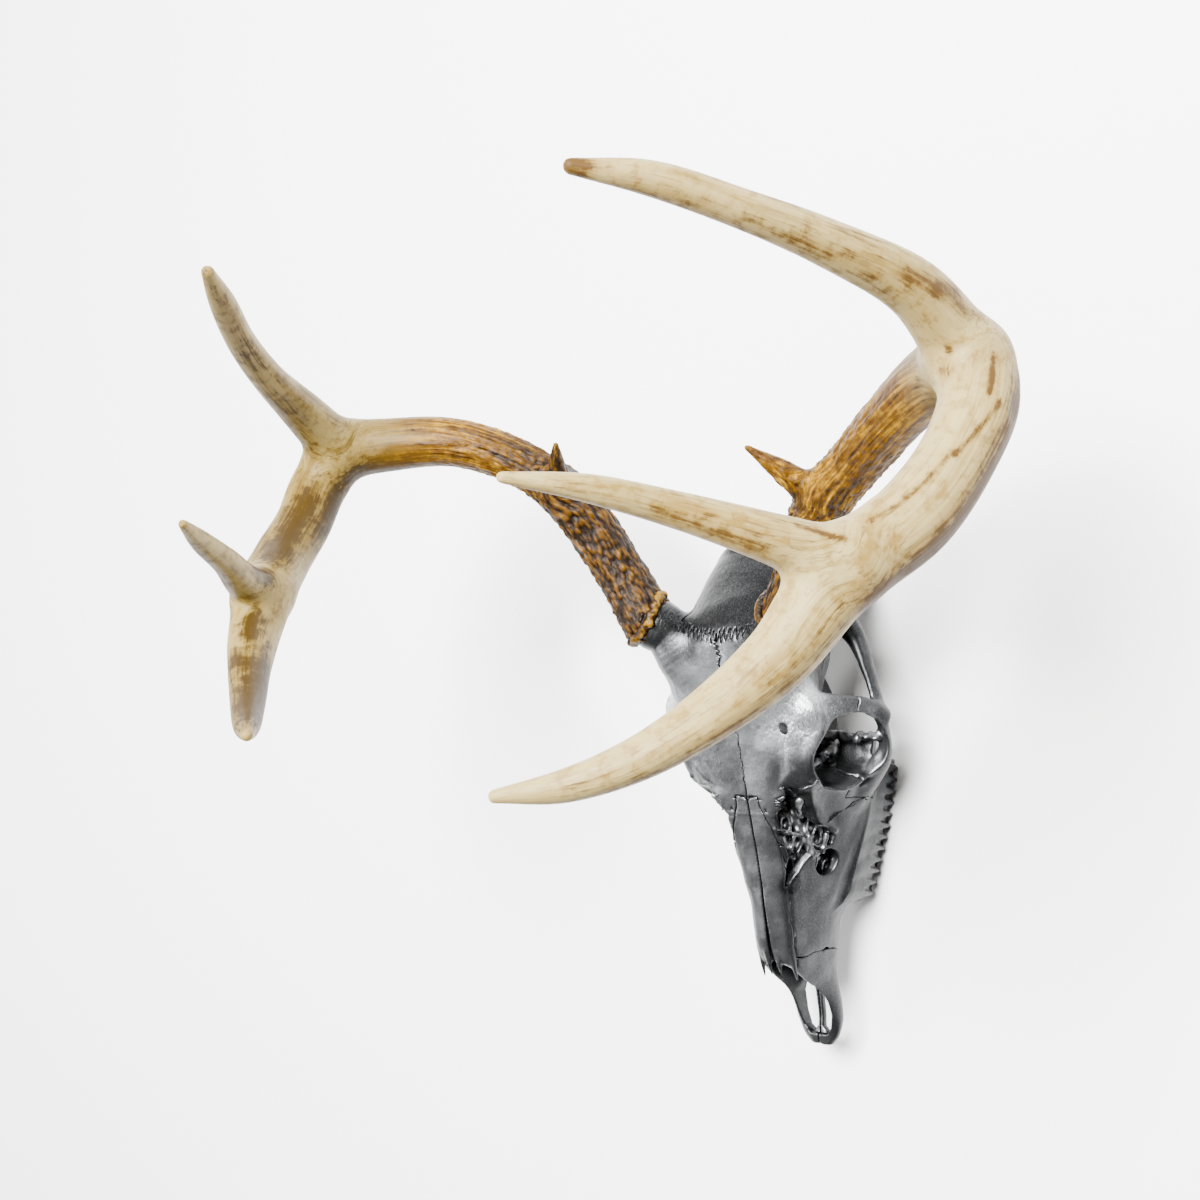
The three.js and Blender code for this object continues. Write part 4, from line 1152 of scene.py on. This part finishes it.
# Antlers
antler_lean = np.array([0.0, 9.0, 2.0])
beam_path = (
    # point, radius, share of the lean that the right antler has the other way
    ((43.6, 226, 125.5), 14, 0), ((56, 248, 132.5), 13.3, 0), ((67, 268, 143), 13.2, 0.2),
    ((79, 283, 155), 13.2, 0.8), ((103, 298, 170), 12.3, 1.1), ((131, 309, 188), 13, 0.9),
    ((160, 313, 206), 14.2, 0.3), ((184, 309, 223), 15.8, 0), ((192, 291, 231), 15.2, 0),
    ((189.5, 268, 242), 14.6, 0), ((181.5, 244, 260), 15, 0.2), ((164, 221, 282), 14.8, 0.3),
    ((149, 195, 297), 12.3, 0.7), ((130, 175, 312), 10, 0.95), ((110.5, 159, 326), 8.2, 1),
    ((90, 148, 341), 6.2, 1), ((70.1, 142.9, 355.6), 2.6, 1))
brow_tine = (((79, 283, 156), 10, 0.8), ((74, 288, 166), 7, 0.8), ((68, 293, 175), 5.2, 0.7),
             ((57.8, 302, 189), 1.4, 0.7))
second_tine = (((184, 312, 226), 14, 0), ((178, 327, 257), 11.2, -0.3), ((162, 335.5, 293), 8.6, -0.4),
               ((144, 343, 324), 7, -0.3), ((124, 350, 350), 6.2, -0.2), ((105.3, 353, 371.6), 3.0, 0))
third_tine = (((167, 223, 281), 12, 0), ((148, 228.5, 309), 8.6, -0.2), ((128, 234, 334), 6.6, -0.3),
              ((110.4, 238, 360), 5.0, -0.3), ((92, 240, 382.4), 2.1, -0.2))


# Stains seen on each antler: branch, run from and to, angle round it from and to, half width, strength
patches = {
    1: ((0, 225, 315, 195, 178, 7.0, 1.0), (2, 20, 165, -34, -26, 9.0, 0.30),
        (2, 0, 165, 150, 170, 8.0, 0.25), (0, 318, 400, 205, 190, 6.0, 0.45),
        (3, 20, 125, 170, 170, 6.0, 0.5),
        (0, 231, 258, -123, -99, 1.3, 0.8), (0, 262, 300, -92, -82, 1.6, 0.6),
        (0, 340, 430, 170, 175, 5.0, 0.5), (0, 215, 228, -108, -106, 1.2, 0.9),
        (0, 318, 350, 150, 165, 4.0, 0.6),
        (2, 177, 184, 40, 70, 7.0, 0.9), (2, 126, 138, -8, -6, 4.5, 0.5), (2, 97, 112, -4, -2, 3.5, 0.42),
        (2, 80, 90, -3, -1, 4.5, 0.65), (2, 62, 72, -2, 0, 4.0, 0.5), (2, 55, 122, -22, -20, 3.0, 0.36),
        (2, 28, 46, 54, 32, 4.5, 0.75), (2, 8, 13, -14, -14, 1.5, 0.9), (3, 8, 24, 10, 22, 1.4, 0.8),
        (3, 36, 72, -55, -50, 3.5, 0.6), (3, 54, 56, -15, -15, 1.6, 0.7), (0, 195, 215, -70, -40, 4.0, 0.5)),
    -1: ((0, 258, 306, 15, 17, 6.5, 1.0), (3, 10, 30, -114, -114, 7.0, 0.8), (0, 240, 250, 0, 4, 6.0, 0.5),
         (0, 362, 372, 22, 22, 4.0, 1.0), (0, 394, 402, 70, -10, 5.0, 0.9),
         (0, 404, 440, -26, -10, 10.0, 1.0),
         (0, 170, 262, -52, -46, 8.0, 0.85), (0, 150, 182, -16, -12, 3.5, 0.7),
         (2, 60, 150, 100, 92, 8.0, 0.42), (2, 0, 170, 20, 30, 9.0, 0.35), (3, 0, 128, 20, 20, 6.0, 0.4),
         (2, 98, 116, 104, 100, 7.0, 0.5), (2, 20, 60, 60, 80, 6.0, 0.5), (3, 50, 100, 60, 80, 4.0, 0.5))}


def branch(knots, side, start=0.0):
    """Path, radii, run and turning frame of one branch on a side, left 1 or right -1."""
    points = np.array([np.array(at) - side * lean * antler_lean for at, _, lean in knots])
    points[:, 0] *= side
    path = smooth_path(points, 8)
    run = lengths(path)
    knot_run = run[::8]
    radius = profile(np.stack([knot_run, [r for _, r, _ in knots]], 1))(run)
    ahead = np.gradient(path, axis=0)
    ahead /= np.linalg.norm(ahead, axis=1, keepdims=True)
    across = np.zeros_like(path)
    current = np.array([0.0, 0.3, 1.0])
    for i, t in enumerate(ahead):
        current = current - t * (current @ t)
        current = current / np.linalg.norm(current)
        across[i] = current
    return {"path": path, "radius": radius, "run": run + start, "ahead": ahead, "across": across}


def follow(points, way):
    """Distance to a branch's surface, and the run and offsets along it, for each point."""
    path = way["path"]
    index = np.zeros(len(points), int)
    for i in range(0, len(points), 40000):
        part = points[i:i + 40000]
        gap = (path ** 2).sum(1)[None] - 2 * part @ path.T
        index[i:i + 40000] = gap.argmin(1)
    offset = points - path[index]
    ahead = way["ahead"][index]
    over = np.einsum("ij,ij->i", offset, ahead)
    across = way["across"][index]
    up = np.cross(ahead, across)
    flat = offset - ahead * over[:, None]
    u = np.einsum("ij,ij->i", flat, across)
    v = np.einsum("ij,ij->i", flat, up)
    away = np.linalg.norm(offset, axis=1) - way["radius"][index]
    return away, way["run"][index] + over, u, v


def stains(count, ways, found, side):
    """Strength from 0 to 1 of the listed stains of one antler at each point."""
    stained = np.zeros(count)
    for way, start, end, angle_from, angle_to, wide, strength in patches[side]:
        away, run, u, v = found[way]
        run = run - ways[way]["run"][0]
        part = np.clip((run - start) / max(end - start, 1e-6), 0, 1)
        turn = np.radians(angle_from + (angle_to - angle_from) * part) - np.arctan2(v, u)
        aside = np.abs((turn + math.pi) % (2 * math.pi) - math.pi) * np.hypot(u, v)
        past = np.maximum(np.maximum(start - run, run - end), 0)
        wide = wide * (1.2 if side > 0 else 1.7)
        spot = np.exp(-(aside / wide) ** 2 - (past / (wide * 1.6)) ** 2) * smooth_step(4, 1, away)
        stained = np.maximum(stained, strength * spot)
    return stained


def build_antler(side):
    beam = branch(beam_path, side)
    length = beam["run"][-1]
    tines = [(branch(brow_tine, side, 62), 5), (branch(second_tine, side, 0.47 * length), 9),
             (branch(third_tine, side, 0.7 * length), 9)]
    ways = [beam] + [tine for tine, _ in tines]
    points = np.vstack([way["path"] for way in ways])
    clay = Clay(points.min(0) - 22, points.max(0) + 22, antler_step)
    for way, blend in [(beam, 0.0)] + tines:
        clay.add(*clay.strap(way["path"], way["radius"], way["radius"], margin=10), blend)
    foot = pedicle_normal * [side, 1, 1]
    centre = burr_centre * [side, 1, 1]
    window = clay.window(centre - 30, centre + 30)
    x, y, z = clay.at(window)
    above = (x - centre[0]) * foot[0] + (y - centre[1]) * foot[1] + (z - centre[2]) * foot[2]
    clay.carve(window, above + 4.3, 0.5)
    points, quads = mesh_of(clay.field, clay.low, antler_step)
    normal = normals_of(points, quads)
    found = [follow(points, way) for way in ways]
    away = np.stack([f[0] for f in found])
    share = np.exp(-np.clip(away - away.min(0), 0, 60) / 3.0)
    share /= share.sum(0)
    run, u, v = (sum(share[i] * found[i][n] for i in range(len(ways))) for n in (1, 2, 3))
    tip = np.zeros(len(points))
    for i, way in enumerate(ways):
        left = way["run"][-1] - found[i][1]
        reach = (55, 16, 38, 36)[i]
        tip = np.maximum(tip, share[i] * (1 - smooth_step(0, reach, left)))
    grip = 1 - smooth_step(85, 185, run + 30 * (noise(u / 8, v / 8, run / 30, 4) - 0.5))
    seed = 3 if side > 0 else 9
    bump = pearls(u / 2.3, v / 2.3, run / 6.0, seed)
    fine = pearls(u / 1.6, v / 1.6, run / 3.0, seed + 4)
    groove = noise(u / 3.0, v / 3.0, run / 34, seed) + 0.5 * noise(u / 1.5, v / 1.5, run / 16, seed + 1)
    groove = groove - 0.75
    swell = noise(u / 12, v / 12, run / 40, seed + 2) - 0.5
    body = 1 - smooth_step(0.25, 0.9, tip)
    size = np.clip(np.hypot(u, v) / 13, 0.15, 1)
    relief = grip * (1.5 * bump + 0.6 * fine - 0.7)
    relief = relief + groove * (0.30 + 1.3 * grip) * body + 0.9 * swell * body
    points = points + normal * (size * relief)[:, None]
    crest = np.clip(0.12 + 0.8 * bump * grip + 0.35 * fine * grip + 0.3 * groove, 0, 1)
    hub = np.array([60.0 * side, 235, 260])
    outward = points - hub
    outward /= np.linalg.norm(outward, axis=1, keepdims=True)
    outer = np.clip(np.einsum("ij,ij->i", outward, normal) * 0.5 + 0.5, 0, 1)
    attributes = {"along": run, "outer": outer, "crest": crest, "tip": tip,
                  "stained": stains(len(points), ways, found, side), "lines": np.stack([run, u, v], 1)}
    word = "left" if side > 0 else "right"
    nodes = [f"{part}_{word}" for part in ("antler_base", "antler_beam", "antler_bend", "antler_beam_tip",
                                           "brow_tine", "second_tine", "third_tine")]
    finish, slot = (pale_finish, "pale_antler") if side > 0 else (tan_finish, "tan_antler")
    piece(f"antler_{word}", points, quads, finish, nodes, attributes)


def build_burr(side):
    word = "left" if side > 0 else "right"
    centre = burr_centre * [side, 1, 1]
    foot = pedicle_normal * [side, 1, 1]
    across = np.cross(foot, [0.0, 0.0, 1.0])
    across /= np.linalg.norm(across)
    up = np.cross(across, foot)
    clay = Clay(centre - 23, centre + 23, burr_step)
    angle = np.linspace(0, 2 * math.pi, 49)
    ring = centre + (np.outer(np.cos(angle), across) + np.outer(np.sin(angle), up)) * burr_radius
    clay.add(*clay.strap(ring, 2.3, 2.3, margin=5))
    random = np.random.default_rng(21 if side > 0 else 34)
    knobs = 27
    for k in range(knobs):
        a = (k + random.uniform(-0.25, 0.25)) / knobs * 2 * math.pi
        out = random.uniform(burr_radius, burr_radius + 1.3)
        lift = random.uniform(-1.4, 2.0)
        size = random.uniform(1.5, 2.5)
        at = centre + (across * math.cos(a) + up * math.sin(a)) * out + foot * lift
        clay.add(*clay.egg(at, (size, size, size), margin=4), 0.9)
    for k in range(16):
        a = random.uniform(0, 2 * math.pi)
        at = centre + (across * math.cos(a) + up * math.sin(a)) * 13.6 + foot * random.uniform(2.0, 4.2)
        size = random.uniform(1.0, 1.9)
        clay.add(*clay.egg(at, (size, size, size), margin=4), 0.9)
    points, quads = mesh_of(clay.field, clay.low, burr_step)
    normal = normals_of(points, quads)
    out = np.linalg.norm((points - centre) - np.outer((points - centre) @ foot, foot), axis=1)
    x, y, z = points.T
    small = noise(x / 1.3, y / 1.3, z / 1.3, 6) - 0.5
    points = points + normal * (small * 0.5)[:, None]
    crest = np.clip((out - 14.5) / 3.2 + small * 0.6, 0, 1)
    nodes = (f"antler_base_{word}",)
    piece(f"burr_{word}", points, quads, burr_paint, nodes, {"crest": crest})


for side in (1, -1):
    build_antler(side)
    build_burr(side)


# Floor, camera and light
def sheet_finish():
    f = Finish("pale_floor")
    tone = f.grain(2.0, 2, 0.5)
    paint = f.colour(0.94, 0.94, 0.937).toward(f.colour(0.96, 0.96, 0.957), tone)
    return f.done(Base_Color=paint, Roughness=0.75)


floor_mesh = bpy.data.meshes.new("pale_floor")
reach = 6.0
floor_mesh.from_pydata([(-reach, -reach, 0), (reach, -reach, 0), (reach, reach, 0), (-reach, reach, 0)], [],
                       [(0, 1, 2, 3)])
floor_mesh.materials.append(sheet_finish())
floor = put("pale_floor", floor_mesh)

# Camera where the photograph was taken: three directions and a distance in the skull's frame
right = np.array([0.76954, 0.05266, -0.63643])
down = np.array([-0.03386, -0.99183, -0.12301])
ahead = np.array([-0.63770, 0.11621, -0.76146])
offset = np.array([126.8615, 248.4522, 823.6428])
eye = -(right * offset[0] + down * offset[1] + ahead * offset[2])
turn = np.array([[1, 0, 0], [0, tilt_cos, tilt_sin], [0, -tilt_sin, tilt_cos]])
sensor, focal_pixels, picture_pixels = 36.0, 1478.807, 1200
camera_data = bpy.data.cameras.new("camera")
camera_data.sensor_width = sensor
camera_data.lens = sensor * focal_pixels / picture_pixels
camera_data.clip_start = 0.05
camera_data.clip_end = 30
camera = put("camera", camera_data)
axes = np.stack([turn @ right, -(turn @ down), -(turn @ ahead)], 1)
where = to_row(eye[None])[0]
camera.matrix_world = Matrix([[*axes[k], where[k]] for k in range(3)] + [[0, 0, 0, 1]])
bpy.context.scene.camera = camera


def lamp(name, place, aim, size, power):
    data = bpy.data.lights.new(name, "AREA")
    data.shape = "DISK"
    data.size = size
    data.energy = power
    light = put(name, data)
    light.location = place
    light.rotation_euler = (Vector(aim) - Vector(place)).to_track_quat("-Z", "Y").to_euler()


lamp("key_light", (0.30, 0.85, 2.0), (0, 0.05, 0.1), 1.1, 380)
lamp("side_light", (-1.6, -0.3, 1.3), (0, 0, 0.1), 1.0, 40)
world = bpy.data.worlds.new("studio")
bpy.context.scene.world = world
world.use_nodes = True
sky = Tone(world.node_tree)
backdrop = world.node_tree.nodes["Background"]
direction = sky.node("ShaderNodeTexCoord")
across, back, height = (sky.node("ShaderNodeSeparateXYZ", None, {0: direction}, n) for n in range(3))
overhead = height.between(0.0, 0.9) * 1.25 + 0.35
# A soft glow low behind the skull's right side, for the back of the paint
diagonal, glow = 0.7071, 30
behind = ((back - across) * diagonal).between(0.25, 0.9) * (1 - height.between(0.35, 0.75))
world.node_tree.links.new((overhead + behind * glow).socket, backdrop.inputs["Strength"])
